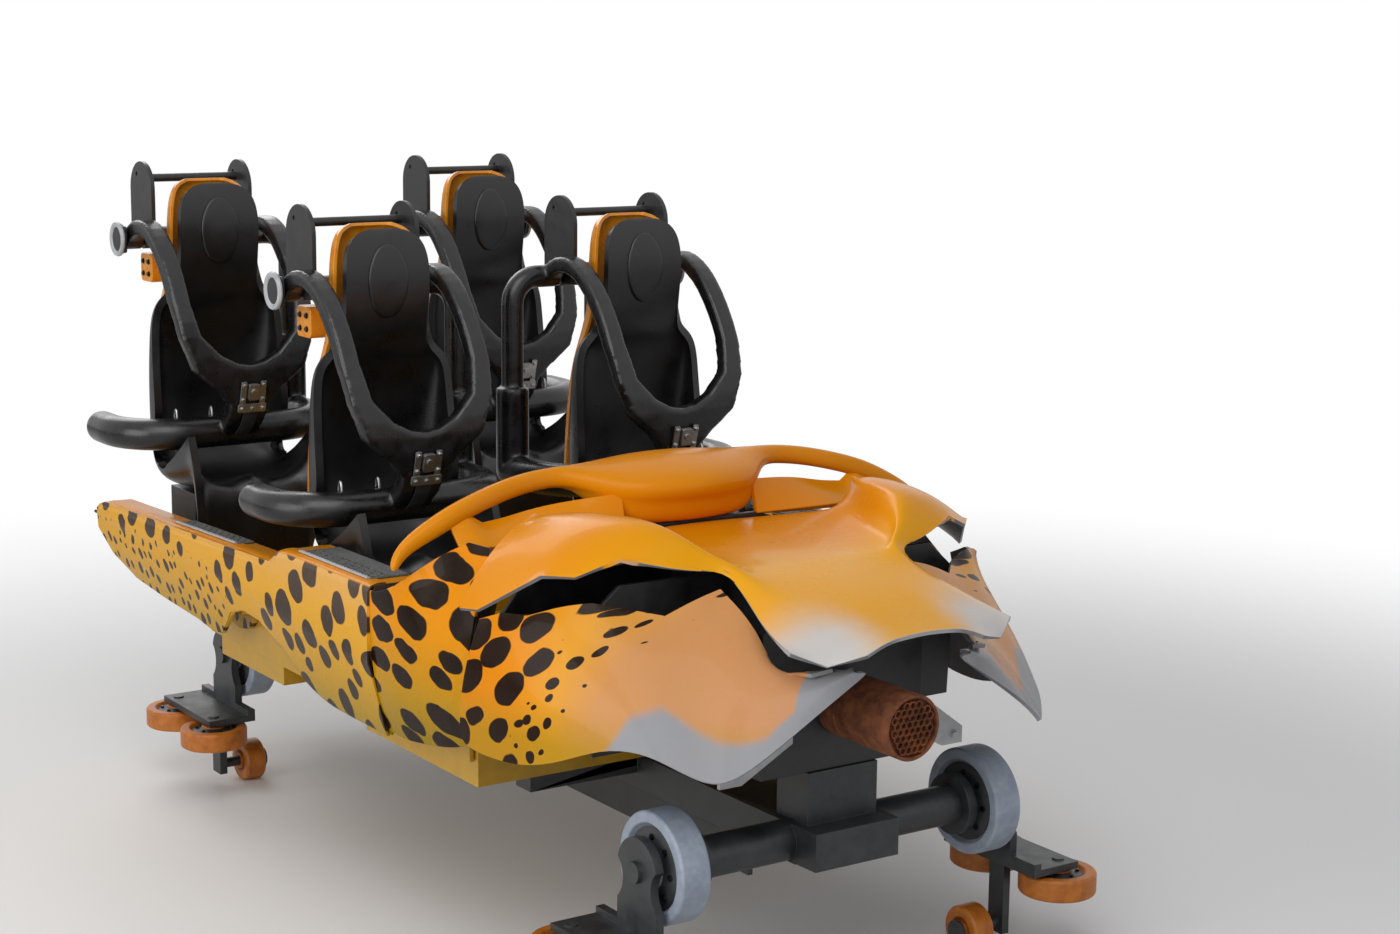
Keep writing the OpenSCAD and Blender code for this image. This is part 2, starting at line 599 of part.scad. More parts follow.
guide_wheel(front_axle_x, R, 1);  // guide_wheel_front_right_a
guide_wheel(front_axle_x, L, 1);  // guide_wheel_front_left_a
guide_wheel(rear_axle_x, R, 1);  // guide_wheel_rear_right_a
guide_wheel(rear_axle_x, L, 1);  // guide_wheel_rear_left_a
guide_wheel(front_axle_x, R, -1);  // guide_wheel_front_right_b
guide_wheel(front_axle_x, L, -1);  // guide_wheel_front_left_b
guide_wheel(rear_axle_x, R, -1);  // guide_wheel_rear_right_b
guide_wheel(rear_axle_x, L, -1);  // guide_wheel_rear_left_b
upstop_wheel(front_axle_x, R);  // upstop_wheel_front_right
upstop_wheel(front_axle_x, L);  // upstop_wheel_front_left
upstop_wheel(rear_axle_x, R);  // upstop_wheel_rear_right
upstop_wheel(rear_axle_x, L);  // upstop_wheel_rear_left
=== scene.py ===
# %% [markdown]
# # A roller coaster car, dressed for its portrait
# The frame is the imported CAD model: every solid in its real place, in metres, with +X forward, +Y to the car's left
# and +Z up. This lesson gives the moulded shells their soft curves, adds the small parts that a coaster car carries,
# and paints everything with procedural materials.

import json
import math
from functools import partial

import bmesh
import bpy
from mathutils import Matrix, Vector


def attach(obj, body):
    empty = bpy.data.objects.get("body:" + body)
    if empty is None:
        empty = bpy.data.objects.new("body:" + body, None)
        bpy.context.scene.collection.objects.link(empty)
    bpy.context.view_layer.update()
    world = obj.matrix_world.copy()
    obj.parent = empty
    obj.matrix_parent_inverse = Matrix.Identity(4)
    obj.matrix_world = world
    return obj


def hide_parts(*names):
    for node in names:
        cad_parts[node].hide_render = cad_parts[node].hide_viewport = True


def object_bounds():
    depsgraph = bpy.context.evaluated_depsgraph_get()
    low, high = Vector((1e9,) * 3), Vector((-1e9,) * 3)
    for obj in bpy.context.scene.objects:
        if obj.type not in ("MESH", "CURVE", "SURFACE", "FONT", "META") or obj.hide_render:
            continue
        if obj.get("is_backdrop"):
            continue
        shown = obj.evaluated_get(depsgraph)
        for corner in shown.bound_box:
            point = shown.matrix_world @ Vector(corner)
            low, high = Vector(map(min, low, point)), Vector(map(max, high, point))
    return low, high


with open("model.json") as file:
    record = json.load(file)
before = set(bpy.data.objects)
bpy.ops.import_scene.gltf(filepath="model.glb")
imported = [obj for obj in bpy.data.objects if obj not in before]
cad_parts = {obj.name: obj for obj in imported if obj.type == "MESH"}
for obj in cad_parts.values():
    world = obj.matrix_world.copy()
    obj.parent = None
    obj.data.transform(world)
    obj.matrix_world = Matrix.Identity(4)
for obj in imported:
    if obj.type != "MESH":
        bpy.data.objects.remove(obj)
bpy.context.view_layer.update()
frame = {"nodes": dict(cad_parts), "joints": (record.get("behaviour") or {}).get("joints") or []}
scene = bpy.context.scene
mm = 0.001
sides = {"right": -1, "left": 1}

# %% [markdown]
# ## Camera, floor and light
# The camera stands beside the nose, a little above the headrests. It was found from the mirror symmetry of the car, so
# the numbers below are a place, three angles and a lens. The sensor is 36 mm wide and the picture is taken to be 1400
# pixels wide, which turns the focal length in pixels into one in millimetres.

# %% Camera
picture_w = 1400
focal_px = 2446.9
sensor_mm = 36
camera_place = Vector((5.531, -3.339, 2.225))
heading, pitch, roll = (math.radians(a) for a in (55.453, 10.194, 0.672))

forward = Vector((-math.sin(heading) * math.cos(pitch), math.cos(heading) * math.cos(pitch), -math.sin(pitch)))
level_right = Vector((math.cos(heading), math.sin(heading), 0))
level_up = level_right.cross(forward)
right = level_right * math.cos(roll) + level_up * math.sin(roll)
up = level_up * math.cos(roll) - level_right * math.sin(roll)

lens = bpy.data.cameras.new("camera")
lens.sensor_width = sensor_mm
lens.lens = focal_px * sensor_mm / picture_w
camera = bpy.data.objects.new("camera", lens)
scene.collection.objects.link(camera)
axes = Matrix((right, up, -forward)).transposed().to_4x4()
camera.matrix_world = Matrix.Translation(camera_place) @ axes
scene.camera = camera
print("lens", round(lens.lens, 2), "mm")

# %% [markdown]
# A node tree is easier to read when each node is made, set and linked in one line. One small function does that, for
# shaders and for geometry: it takes the kind of node, its settings, and its inputs, where an input is a value or
# another node's output. Colours are written as they look on a screen and turned to linear light in one place.

# %% Node helper and colours
def linear(hex_colour):
    shares = [int(hex_colour[i : i + 2], 16) / 255 for i in (1, 3, 5)]
    return [s / 12.92 if s <= 0.04045 else ((s + 0.055) / 1.055) ** 2.4 for s in shares] + [1]


def add_node(tree, kind, settings=None, inputs=None, output=0):
    """Adds a node, with its settings and links, and gives one of its outputs. Stops are a ramp's colours."""
    node = tree.nodes.new(kind)
    settings = dict(settings or {})
    stops = settings.pop("stops", None)
    for name, value in settings.items():
        setattr(node, name, value)
    if stops:
        points = node.color_ramp.elements
        for point, (place, colour) in ((points[0], stops[0]), (points[1], stops[-1])):
            point.position, point.color = place, linear(colour)
        for place, colour in stops[1:-1]:
            points.new(place).color = linear(colour)
    for key, value in (inputs or {}).items():
        if isinstance(value, bpy.types.NodeSocket):
            tree.links.new(value, node.inputs[key])
        else:
            node.inputs[key].default_value = value
    return node.outputs[output] if node.outputs else node


print("mid grey #808080 is", round(linear("#808080")[0], 3), "in linear light")

# %% [markdown]
# The light is that of a plain studio. The world is pale and fills the shadows, but the camera, shiny surfaces and glass
# see a white backdrop in its place. Light Path tells the kinds of ray apart, and two Maximum nodes join them.

# %% World
world = bpy.data.worlds.new("studio")
scene.world = world
world.use_nodes = True
sky = world.node_tree
sky.nodes.clear()
rays = add_node(sky, "ShaderNodeLightPath").node.outputs
seen = add_node(sky, "ShaderNodeMath", {"operation": "MAXIMUM"}, {0: rays["Is Camera Ray"], 1: rays["Is Glossy Ray"]})
seen = add_node(sky, "ShaderNodeMath", {"operation": "MAXIMUM"}, {0: seen, 1: rays["Is Transmission Ray"]})
fill = add_node(sky, "ShaderNodeBackground", None, {"Color": linear("#f4f6ff"), "Strength": 0.34})
backdrop = add_node(sky, "ShaderNodeBackground", None, {"Color": (1, 1, 1, 1), "Strength": 1.0})
mixed = add_node(sky, "ShaderNodeMixShader", None, {0: seen, 1: fill, 2: backdrop})
add_node(sky, "ShaderNodeOutputWorld", None, {"Surface": mixed})
scene.view_settings.view_transform = "Standard"
print("world of", len(sky.nodes), "nodes")

# %% [markdown]
# The floor is a wide, pale, matt sheet that keeps the car's shadow. Further out it fades into the white backdrop, for
# the camera alone, so that no horizon shows.

# %% Floor
floor_half = 30
fade_from, fade_to = 2.2, 5.5
floor_mesh = bpy.data.meshes.new("floor")
floor_mesh.from_pydata([(-floor_half, -floor_half, 0), (floor_half, -floor_half, 0), (floor_half, floor_half, 0),
                        (-floor_half, floor_half, 0)], [], [(0, 1, 2, 3)])
floor = bpy.data.objects.new("floor", floor_mesh)
scene.collection.objects.link(floor)
floor_paint = bpy.data.materials.new("pale_floor")
floor_paint.use_nodes = True
ground = floor_paint.node_tree
matt = ground.nodes["Principled BSDF"]
matt.inputs["Base Color"].default_value = linear("#ecebe8")
matt.inputs["Roughness"].default_value = 0.9
place = add_node(ground, "ShaderNodeTexCoord", output="Object")
far = add_node(ground, "ShaderNodeVectorMath", {"operation": "LENGTH"}, {0: place}, "Value")
away = add_node(ground, "ShaderNodeMapRange", {"interpolation_type": "SMOOTHSTEP"},
                {"Value": far, "From Min": fade_from, "From Max": fade_to})
glow = add_node(ground, "ShaderNodeEmission", None, {"Color": (1, 1, 1, 1), "Strength": 1.0})
seen = add_node(ground, "ShaderNodeLightPath", output="Is Camera Ray")
share = add_node(ground, "ShaderNodeMath", {"operation": "MULTIPLY"}, {0: away, 1: seen})
faded = add_node(ground, "ShaderNodeMixShader", None, {0: share, 1: matt.outputs[0], 2: glow})
ground.links.new(faded, ground.nodes["Material Output"].inputs["Surface"])
floor_mesh.materials.append(floor_paint)
floor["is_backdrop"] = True
print("floor", 2 * floor_half, "m wide, fading from", fade_from, "to", fade_to, "m")

# %% [markdown]
# A wide key lamp hangs above the nose, a softer one stands on the camera's side, and a third lights the car from
# behind. Their watts are matched so that a matt surface facing up comes out about as bright as its colour.

# %% Lamps
lamps = [  # name, place, aimed at, width, power in watts
    ("key", (3.8, -3.0, 6.0), (0.3, 0, 0.8), 5.0, 205),
    ("fill", (1.0, -6.5, 2.6), (0.2, 0, 0.7), 4.0, 150),
    ("rim", (-6.0, 0.5, 5.0), (0.0, 0, 1.0), 4.0, 150),
]
for name, place, target, width, power in lamps:
    lamp = bpy.data.lights.new(name, "AREA")
    lamp.size = width
    lamp.energy = power
    holder = bpy.data.objects.new(name, lamp)
    holder.location = place
    holder.rotation_euler = (Vector(target) - Vector(place)).to_track_quat("-Z", "Y").to_euler()
    scene.collection.objects.link(holder)
print("lamps", [name for name, *rest in lamps])

# %% [markdown]
# ## Materials
# Every finish starts the same way: an empty tree and the object's own coordinates, so that a pattern keeps its real
# size on every part. A worn finish has patches a few centimetres wide that change its colour and its gloss together,
# as handling and weather do, and a finer grain that the light picks out as bumps.

# %% A tree to build on, and the worn finish
finish = {}


def new_tree(name):
    material = bpy.data.materials.new(name)
    material.use_nodes = True
    material.node_tree.nodes.clear()
    add = partial(add_node, material.node_tree)
    return material, add, add("ShaderNodeTexCoord", output="Object")


def worn(name, dark, light, rough, patch=50 * mm, grain=5 * mm, depth=0.4 * mm, metallic=0.0, ior=1.5):
    """A finish that wear has clouded, from its two colours, its middle roughness and its real sizes."""
    material, add, place = new_tree(name)
    patches = add("ShaderNodeTexNoise", None, {"Vector": place, "Scale": 1 / patch, "Detail": 6, "Roughness": 0.64})
    colour = add("ShaderNodeValToRGB", {"stops": ((0.34, dark), (0.74, light))}, {"Fac": patches})
    gloss = add("ShaderNodeMapRange", None, {"Value": patches, "From Min": 0.3, "From Max": 0.7,
                                             "To Min": rough - 0.07, "To Max": rough + 0.13})
    fine = add("ShaderNodeTexNoise", None, {"Vector": place, "Scale": 1 / grain, "Detail": 3, "Roughness": 0.6})
    bumps = add("ShaderNodeBump", None, {"Height": fine, "Distance": depth, "Strength": 0.4})
    shader = add("ShaderNodeBsdfPrincipled", None, {"Base Color": colour, "Roughness": gloss, "Normal": bumps,
                                                    "Metallic": metallic, "IOR": ior})
    add("ShaderNodeOutputMaterial", None, {"Surface": shader})
    return material


print("patches 50 mm wide ask for a noise scale of", round(1 / (50 * mm)))

# %% [markdown]
# ### Spots
# The animal-print spots are separate ovals, painted on through masks. A noise texture with a threshold would give
# blots that run together, so a Voronoi texture scatters points, and its n-sphere radius tells how far each one's
# nearest neighbour is. A spot fills a share of that radius, so hardly any two meet. A little noise in the place makes
# the outlines uneven, and a stretch turns the discs into ovals with a slope. The Mapping node's Texture kind turns the
# pattern first and stretches it afterwards, which a slanting oval needs.

# %% Spots
def spots(add, place, cell, small, large, slope=0.0, stretch=1.0, shake=0.03, randomness=0.62, growth=1.0):
    """A mask of ovals on the side view's x and z. Small and large are shares of the free radius of a cell, and
    growth, a number or another node's output, scales them from place to place."""
    parts = add("ShaderNodeSeparateXYZ", None, {0: place})
    flat = add("ShaderNodeCombineXYZ", None, {"X": parts, "Y": parts.node.outputs["Z"]})
    drift = add("ShaderNodeTexNoise", None, {"Vector": flat, "Scale": 1 / (90 * mm), "Detail": 2}, "Color")
    drift = add("ShaderNodeVectorMath", {"operation": "SUBTRACT"}, {0: drift, 1: (0.5, 0.5, 0.5)})
    drift = add("ShaderNodeVectorMath", {"operation": "SCALE"}, {0: drift, "Scale": shake})
    flat = add("ShaderNodeVectorMath", {"operation": "ADD"}, {0: flat, 1: drift})
    flat = add("ShaderNodeMapping", {"vector_type": "TEXTURE"}, {
        "Vector": flat, "Rotation": (0, 0, math.radians(slope)), "Scale": (1, 1 / stretch, 1)})
    cells = {"Vector": flat, "Scale": 1 / cell, "Randomness": randomness}
    near = add("ShaderNodeTexVoronoi", {"voronoi_dimensions": "2D", "feature": "F1"}, cells)
    draw = add("ShaderNodeSeparateColor", None, {0: near.node.outputs["Color"]})
    share = add("ShaderNodeMapRange", None, {"Value": draw, "To Min": small, "To Max": large})
    free = add("ShaderNodeTexVoronoi", {"voronoi_dimensions": "2D", "feature": "N_SPHERE_RADIUS"}, cells, "Radius")
    share = add("ShaderNodeMath", {"operation": "MULTIPLY"}, {0: share, 1: growth})
    inside = add("ShaderNodeMath", {"operation": "MULTIPLY"}, {0: share, 1: free})
    inside = add("ShaderNodeMath", {"operation": "SUBTRACT"}, {0: inside, 1: near})
    return add("ShaderNodeMapRange", None, {"Value": inside, "From Min": -0.012, "From Max": 0.012})


print("a spot every 108 mm asks for a Voronoi scale of", round(1 / (108 * mm), 2))

# %% [markdown]
# ### Painted panels
# The panels are glass fibre laminate with a sprayed paint and a clear coat. The eye gets two reflections: a sharp one
# off the coat and the soft colour under it. Dust dulls both in patches. Behind the paint the laminate is plain grey,
# and it shows on the inner faces: there the surface looks back towards the car's middle, so its normal and its own
# place point opposite ways across the car.

# %% Clear coat
def coated(material, add, place, colour, inner, dust_colour="#d8c9a8"):
    """Ends a painted panel's tree: dust, soft ripples, a clear coat and the grey laminate on the inner faces."""
    dust = add("ShaderNodeTexNoise", None, {"Vector": place, "Scale": 1 / (160 * mm), "Detail": 6, "Roughness": 0.62})
    dusty = add("ShaderNodeMapRange", None, {"Value": dust, "From Min": 0.5, "From Max": 0.85, "To Max": 0.04})
    painted = add("ShaderNodeMix", {"data_type": "RGBA"}, {0: dusty, 6: colour, 7: linear(dust_colour)}, 2)
    shown = add("ShaderNodeMix", {"data_type": "RGBA"}, {0: inner, 6: painted, 7: linear("#77777a")}, 2)
    gloss = add("ShaderNodeMapRange", None, {"Value": dust, "From Min": 0.35, "From Max": 0.8, "To Min": 0.2,
                                             "To Max": 0.4})
    fine = add("ShaderNodeTexNoise", None, {"Vector": place, "Scale": 1 / (12 * mm), "Detail": 2})
    ripple = add("ShaderNodeBump", None, {"Height": fine, "Distance": 0.3 * mm, "Strength": 0.3})
    shader = add("ShaderNodeBsdfPrincipled", None, {
        "Base Color": shown, "Roughness": gloss, "Normal": ripple, "IOR": 1.45, "Specular IOR Level": 0.08,
        "Coat Weight": 0.1, "Coat Roughness": 0.04})
    add("ShaderNodeOutputMaterial", None, {"Surface": shader})
    return material


def looks_inward(add, place, axis):
    """1 where the surface faces the car's middle: across the car for axis Y, down for axis Z."""
    faces = add("ShaderNodeSeparateXYZ", None, {0: add("ShaderNodeNewGeometry", output="Normal")}).node.outputs[axis]
    if axis == "Y":
        where = add("ShaderNodeSeparateXYZ", None, {0: place}).node.outputs[axis]
        side = add("ShaderNodeMath", {"operation": "SIGN"}, {0: where})
        faces = add("ShaderNodeMath", {"operation": "MULTIPLY"}, {0: side, 1: faces})
    return add("ShaderNodeMapRange", None, {"Value": faces, "From Min": -0.25, "From Max": -0.35})


print("dust lies on up to 4 % of the paint")

# %% [markdown]
# The side skins run from olive yellow at the foot through golden yellow to a pale peach at the top. The pale peach is
# partly a painted reflection and highlight on the lit, rounded top, and partly a pale trim. Ovals cover them, and below
# the crease at the rear these give way to small dots. The spots' brown is painted lighter towards the top as painted
# light. The tops of the sills are plain orange.

# %% Side paint
material, add, place = new_tree("spotted_side_gel_coat")
parts = add("ShaderNodeSeparateXYZ", None, {0: place})
height = parts.node.outputs["Z"]
level = add("ShaderNodeMapRange", None, {"Value": height, "From Min": 0.52, "From Max": 0.92})
# painted reflection: the pale peach stops at the top are partly the lit, rounded top's reflection and highlight, partly
# a pale trim
base = add("ShaderNodeValToRGB", {"stops": ((0.0, "#a58405"), (0.4, "#d49b06"), (0.7, "#e2a52c"),
                                            (0.93, "#e0a95c"), (1.0, "#f0d09c"))}, {"Fac": level})
rear = add("ShaderNodeMapRange", None, {"Value": parts, "From Min": -0.45, "From Max": -0.62})
low = add("ShaderNodeMapRange", None, {"Value": height, "From Min": 0.79, "From Max": 0.74})
fine = add("ShaderNodeMath", {"operation": "MULTIPLY"}, {0: rear, 1: low})
coarse = add("ShaderNodeMath", {"operation": "SUBTRACT"}, {0: 1.0, 1: fine})
large = spots(add, place, 108 * mm, 0.68, 1.04, -60, 1.12, 0.035, 0.6, coarse)
small = spots(add, place, 46 * mm, 0.5, 0.78, 0, 0.8, growth=fine)
mask = add("ShaderNodeMath", {"operation": "MAXIMUM"}, {0: large, 1: small})
# painted light: the spots' brown grows lighter towards the top, where the light falls
brown = add("ShaderNodeValToRGB", {"stops": ((0.0, "#241206"), (0.6, "#3c2a1e"), (1.0, "#55453a"))}, {"Fac": level})
spotted = add("ShaderNodeMix", {"data_type": "RGBA"}, {0: mask, 6: base, 7: brown}, 2)
rise = add("ShaderNodeSeparateXYZ", None, {0: add("ShaderNodeNewGeometry", output="Normal")}).node.outputs["Z"]
flat = add("ShaderNodeMapRange", None, {"Value": rise, "From Min": 0.55, "From Max": 0.75})
colour = add("ShaderNodeMix", {"data_type": "RGBA"}, {0: flat, 6: spotted, 7: linear("#d8880c")}, 2)
finish["side"] = coated(material, add, place, colour, 0.0)
print("side paint", len(material.node_tree.nodes), "nodes")

# %% [markdown]
# The waist is olive at the foot and deep orange above, with the largest and darkest spots of the car. The deep orange
# and the darkest brown are partly painted shade, where the waist turns away from the light.

# %% Waist paint
material, add, place = new_tree("spotted_waist_gel_coat")
height = add("ShaderNodeSeparateXYZ", None, {0: place}).node.outputs["Z"]
level = add("ShaderNodeMapRange", None, {"Value": height, "From Min": 0.5, "From Max": 1.05})
# painted shade: the deep orange is partly the waist's own paint and partly its shade
base = add("ShaderNodeValToRGB", {"stops": ((0.0, "#8a7400"), (0.3, "#b98a04"), (0.6, "#e08f08"),
                                            (1.0, "#e3860a"))}, {"Fac": level})
mask = spots(add, place, 150 * mm, 0.86, 1.06, -16, 1.9, 0.04, 0.45)
# painted shade: the spots' near-black brown is partly their own colour and partly shade
colour = add("ShaderNodeMix", {"data_type": "RGBA"}, {0: mask, 6: base, 7: linear("#1e0f05")}, 2)
finish["waist"] = coated(material, add, place, colour, looks_inward(add, place, "Y"))
print("waist paint", len(material.node_tree.nodes), "nodes")

# %% [markdown]
# A cheek is orange and spotted behind, golden and then peach further on, and white along the bottom and at the front.
# That white band lies in shadow and is painted grey, as painted shade. The spots shrink forward and end on a slanting
# line. The grey-white band has an edge of its own that no plane gives, so each point of the cheek's mesh will carry a
# number, "band", that crosses zero along that edge.

# %% Cheek paint
material, add, place = new_tree("spotted_cheek_gel_coat")
parts = add("ShaderNodeSeparateXYZ", None, {0: place})
height = parts.node.outputs["Z"]
along = add("ShaderNodeMapRange", None, {"Value": parts, "From Min": 0.75, "From Max": 1.5})
base = add("ShaderNodeValToRGB", {"stops": ((0.0, "#dc7f08"), (0.28, "#e48c10"), (0.42, "#e39c26"),
                                            (0.56, "#cf9155"), (1.0, "#ca9064"))}, {"Fac": along})
olive = add("ShaderNodeMapRange", None, {"Value": height, "From Min": 0.76, "From Max": 0.66, "To Max": 0.8})
base = add("ShaderNodeMix", {"data_type": "RGBA"}, {0: olive, 6: base, 7: linear("#b58a10")}, 2)
line = add("ShaderNodeMath", {"operation": "MULTIPLY_ADD"}, {0: height, 1: -0.4, 2: parts})
behind = add("ShaderNodeMapRange", None, {"Value": line, "From Min": 0.74, "From Max": 0.66})
ahead = add("ShaderNodeMapRange", None, {"Value": line, "From Min": 0.68, "From Max": 0.72})
end = add("ShaderNodeMapRange", None, {"Value": line, "From Min": 0.82, "From Max": 0.76})
ahead = add("ShaderNodeMath", {"operation": "MULTIPLY"}, {0: ahead, 1: end})
large = spots(add, place, 108 * mm, 0.9, 1.08, 42, 1.55, 0.03, 0.48, behind)
small = spots(add, place, 54 * mm, 0.55, 0.95, 42, 1.4, growth=ahead)
mask = add("ShaderNodeMath", {"operation": "MAXIMUM"}, {0: large, 1: small})
spotted = add("ShaderNodeMix", {"data_type": "RGBA"}, {0: mask, 6: base, 7: linear("#241206")}, 2)
band = add("ShaderNodeAttribute", {"attribute_name": "band"}, None, "Fac")
white = add("ShaderNodeMapRange", {"interpolation_type": "SMOOTHSTEP"}, {"Value": band, "From Min": -0.05,
                                                                         "From Max": 0.05})
# painted shade: the band's white paint is drawn grey, as it lies in shadow
colour = add("ShaderNodeMix", {"data_type": "RGBA"}, {0: white, 6: spotted, 7: linear("#97979a")}, 2)
finish["cheek"] = coated(material, add, place, colour, looks_inward(add, place, "Y"))
print("cheek paint", len(material.node_tree.nodes), "nodes")

# %% [markdown]
# The hood is orange on the brow, golden on the middle and white at the front corners, and its front edge is pale grey
# where the laminate was cut. The cowl wears the same paint, but its inner faces are painted too.

# %% Hood and cowl paint
for piece, name, grey_inside in (("hood", "golden_hood_gel_coat", True), ("cowl", "golden_cowl_gel_coat", False)):
    material, add, place = new_tree(name)
    parts = add("ShaderNodeSeparateXYZ", None, {0: place})
    along = add("ShaderNodeMapRange", None, {"Value": parts, "From Min": 0.5, "From Max": 1.56})
    base = add("ShaderNodeValToRGB", {"stops": ((0.0, "#e08a06"), (0.42, "#e38e0c"), (0.6, "#eba306"),
                                                (0.86, "#e8a006"), (1.0, "#dfa02c"))}, {"Fac": along})
    band = add("ShaderNodeAttribute", {"attribute_name": "band"}, None, "Fac")
    white = add("ShaderNodeMapRange", {"interpolation_type": "SMOOTHSTEP"}, {"Value": band, "From Min": 0.0,
                                                                             "From Max": 1.0})
    shown = add("ShaderNodeMix", {"data_type": "RGBA"}, {0: white, 6: base, 7: linear("#cfcbc6")}, 2)
    edge = add("ShaderNodeAttribute", {"attribute_name": "rim"}, None, "Fac")
    edge = add("ShaderNodeMapRange", None, {"Value": edge, "From Min": 0.93, "From Max": 0.97})
    front = add("ShaderNodeMapRange", None, {"Value": parts, "From Min": 1.05, "From Max": 1.1})
    edge = add("ShaderNodeMath", {"operation": "MULTIPLY"}, {0: edge, 1: front})
    shown = add("ShaderNodeMix", {"data_type": "RGBA"}, {0: edge, 6: shown, 7: linear("#a9a9ab")}, 2)
    inside = looks_inward(add, place, "Z") if grey_inside else 0.0
    finish[piece] = coated(material, add, place, shown, inside)
    print(piece, "paint", len(material.node_tree.nodes), "nodes")

# %% [markdown]
# ### Grit, mouldings, rubber, steel and tread
# The plates on the sills carry grit bound in epoxy. Real grit is about 1 mm across, which the picture can't show, so it
# is drawn at 3.5 mm.

# %% Grit sheet
material, add, place = new_tree("grit_grip_sheet")
grit = add("ShaderNodeTexNoise", None, {"Vector": place, "Scale": 1 / (3.5 * mm), "Detail": 3, "Roughness": 0.8})
stains = add("ShaderNodeTexNoise", None, {"Vector": place, "Scale": 1 / (80 * mm), "Detail": 5})
grey = add("ShaderNodeValToRGB", {"stops": ((0.35, "#3c3d3c"), (0.7, "#525351"))}, {"Fac": stains})
grain = add("ShaderNodeMapRange", None, {"Value": grit, "From Min": 0.45, "From Max": 0.6})
colour = add("ShaderNodeMix", {"data_type": "RGBA"}, {0: grain, 6: grey, 7: linear("#6f706d")}, 2)
bumps = add("ShaderNodeBump", None, {"Height": grit, "Distance": 1.2 * mm, "Strength": 0.8})
shader = add("ShaderNodeBsdfPrincipled", None, {"Base Color": colour, "Roughness": 0.85, "Normal": bumps})
add("ShaderNodeOutputMaterial", None, {"Surface": shader})
finish["grip"] = material
print("grit sheet", len(material.node_tree.nodes), "nodes")

# %% [markdown]
# The other finishes are all worn ones. What each gives the eye stands beside it. A grain finer than 2 mm wouldn't show,
# so the seats' leathery grain is drawn about twice its real size, and the fine scratches of the steel as well.

# %% Worn finishes
worn_ones = {  # name, dark and light colour, roughness, then patch, grain and depth, and what isn't usual
    # rotationally moulded: broad soft highlights over a leathery grain
    "seat": worn("black_moulded_polyethylene", "#0d0d0e", "#19191b", 0.3, 110 * mm, 2.2 * mm, 0.6 * mm, ior=1.51),
    # a smooth elastic skin, rubbed shiny by hands
    "rubber": worn("black_polyurethane_skin", "#0d0d0e", "#1b1b1d", 0.26, 60 * mm, 4 * mm, 0.5 * mm),
    # brushed or sprayed paint on steel: a duller, slightly uneven gloss
    "chassis": worn("dark_painted_steel", "#232527", "#3b3d3e", 0.42),
    "frame": worn("black_painted_steel", "#141415", "#2b2b2c", 0.4),
    "floor": worn("yellow_painted_steel", "#b58a10", "#c99a1c", 0.36),
    # coloured through, so wear shows as pale patches and not as chips
    "shell": worn("orange_moulded_shell", "#dd8710", "#ee9e28", 0.28),
    # bright zinc with cloudy grey patches
    "steel": worn("zinc_plated_steel", "#b9babb", "#8f8f8e", 0.34, 30 * mm, 2 * mm, 0.2 * mm, metallic=1.0),
    "bolt": worn("black_oxide_bolts", "#2e2f31", "#4a4b4d", 0.38, 20 * mm, 2 * mm, 0.2 * mm, metallic=1.0),
    # milky, half matt plastic
    "pale": worn("pale_grey_nylon", "#a4a5a6", "#c2c3c4", 0.4),
    # woven, so it hardly shines
    "webbing": worn("black_polyester_webbing", "#141414", "#242425", 0.75, 30 * mm, 2 * mm, 0.6 * mm),
    # brown and matt, with darker blotches
    "rust": worn("rusted_aluminium_honeycomb", "#4f2712", "#94552c", 0.72, 30 * mm, 4 * mm, 1.2 * mm),
    # cast polyurethane: waxy, with soft highlights
    "running": worn("blue_grey_polyurethane_tread", "#8792a1", "#a6afbb", 0.44, 35 * mm, 6 * mm, 0.5 * mm, ior=1.49),
    "amber": worn("amber_polyurethane_tread", "#a1560f", "#c67826", 0.44, 35 * mm, 6 * mm, 0.5 * mm, ior=1.49),
}
finish.update(worn_ones)
print("finishes", len(finish))

# %% [markdown]
# ## Handing a piece over
# Every finished piece gets its finish and the body that it moves with, and hides the CAD nodes that it stands for. One
# function does all of that.

# %% Place a piece
def place_piece(piece, body, material, slot, *nodes):
    """Gives a piece its finish and its body, and hides the nodes that it stands for. The slot is not used."""
    if not piece.data.materials:
        piece.data.materials.append(finish[material])
    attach(piece, body)
    if nodes:
        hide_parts(*nodes)
    return piece


# %% [markdown]
# ## A bench of shapes
# Most parts are built from rings of points with faces between them, in the car's own frame, so that a finished object
# sits at the origin. Blender's own cylinder or cube would need a place, a turn and a scale that would then have to be
# applied, and its edges would be bare. First come the frame that stands a part where it belongs, and the rings.

# %% Frames and rings
def frame_at(point, z_axis, x_axis=(1, 0, 0)):
    """A matrix that puts a part's own z along z_axis at a point."""
    z = Vector(z_axis).normalized()
    x = Vector(x_axis)
    x = (x - z * x.dot(z)).normalized() if abs(x.normalized().dot(z)) < 0.99 else z.orthogonal().normalized()
    return Matrix.Translation(point) @ Matrix((x, z.cross(x), z)).transposed().to_4x4()


def add_rings(form, rings, joined=False):
    """Faces between rings of points; the first and last ring are capped unless the rings join up."""
    rows = [[form.verts.new(p) for p in ring] for ring in rings]
    n = len(rows[0])
    pairs = list(zip(rows, rows[1:])) + ([(rows[-1], rows[0])] if joined else [])
    for a, b in pairs:
        for i in range(n):
            form.faces.new((a[i], a[(i + 1) % n], b[(i + 1) % n], b[i]))
    if not joined:
        form.faces.new(rows[0][::-1])
        form.faces.new(rows[-1])


print("a frame looking ahead:", [round(v) for v in frame_at((0, 0, 0), (1, 0, 0)).to_euler()])

# %% [markdown]
# Four kinds of part follow from rings: a turned solid, a ring with a section of its own, a plate and a bar.

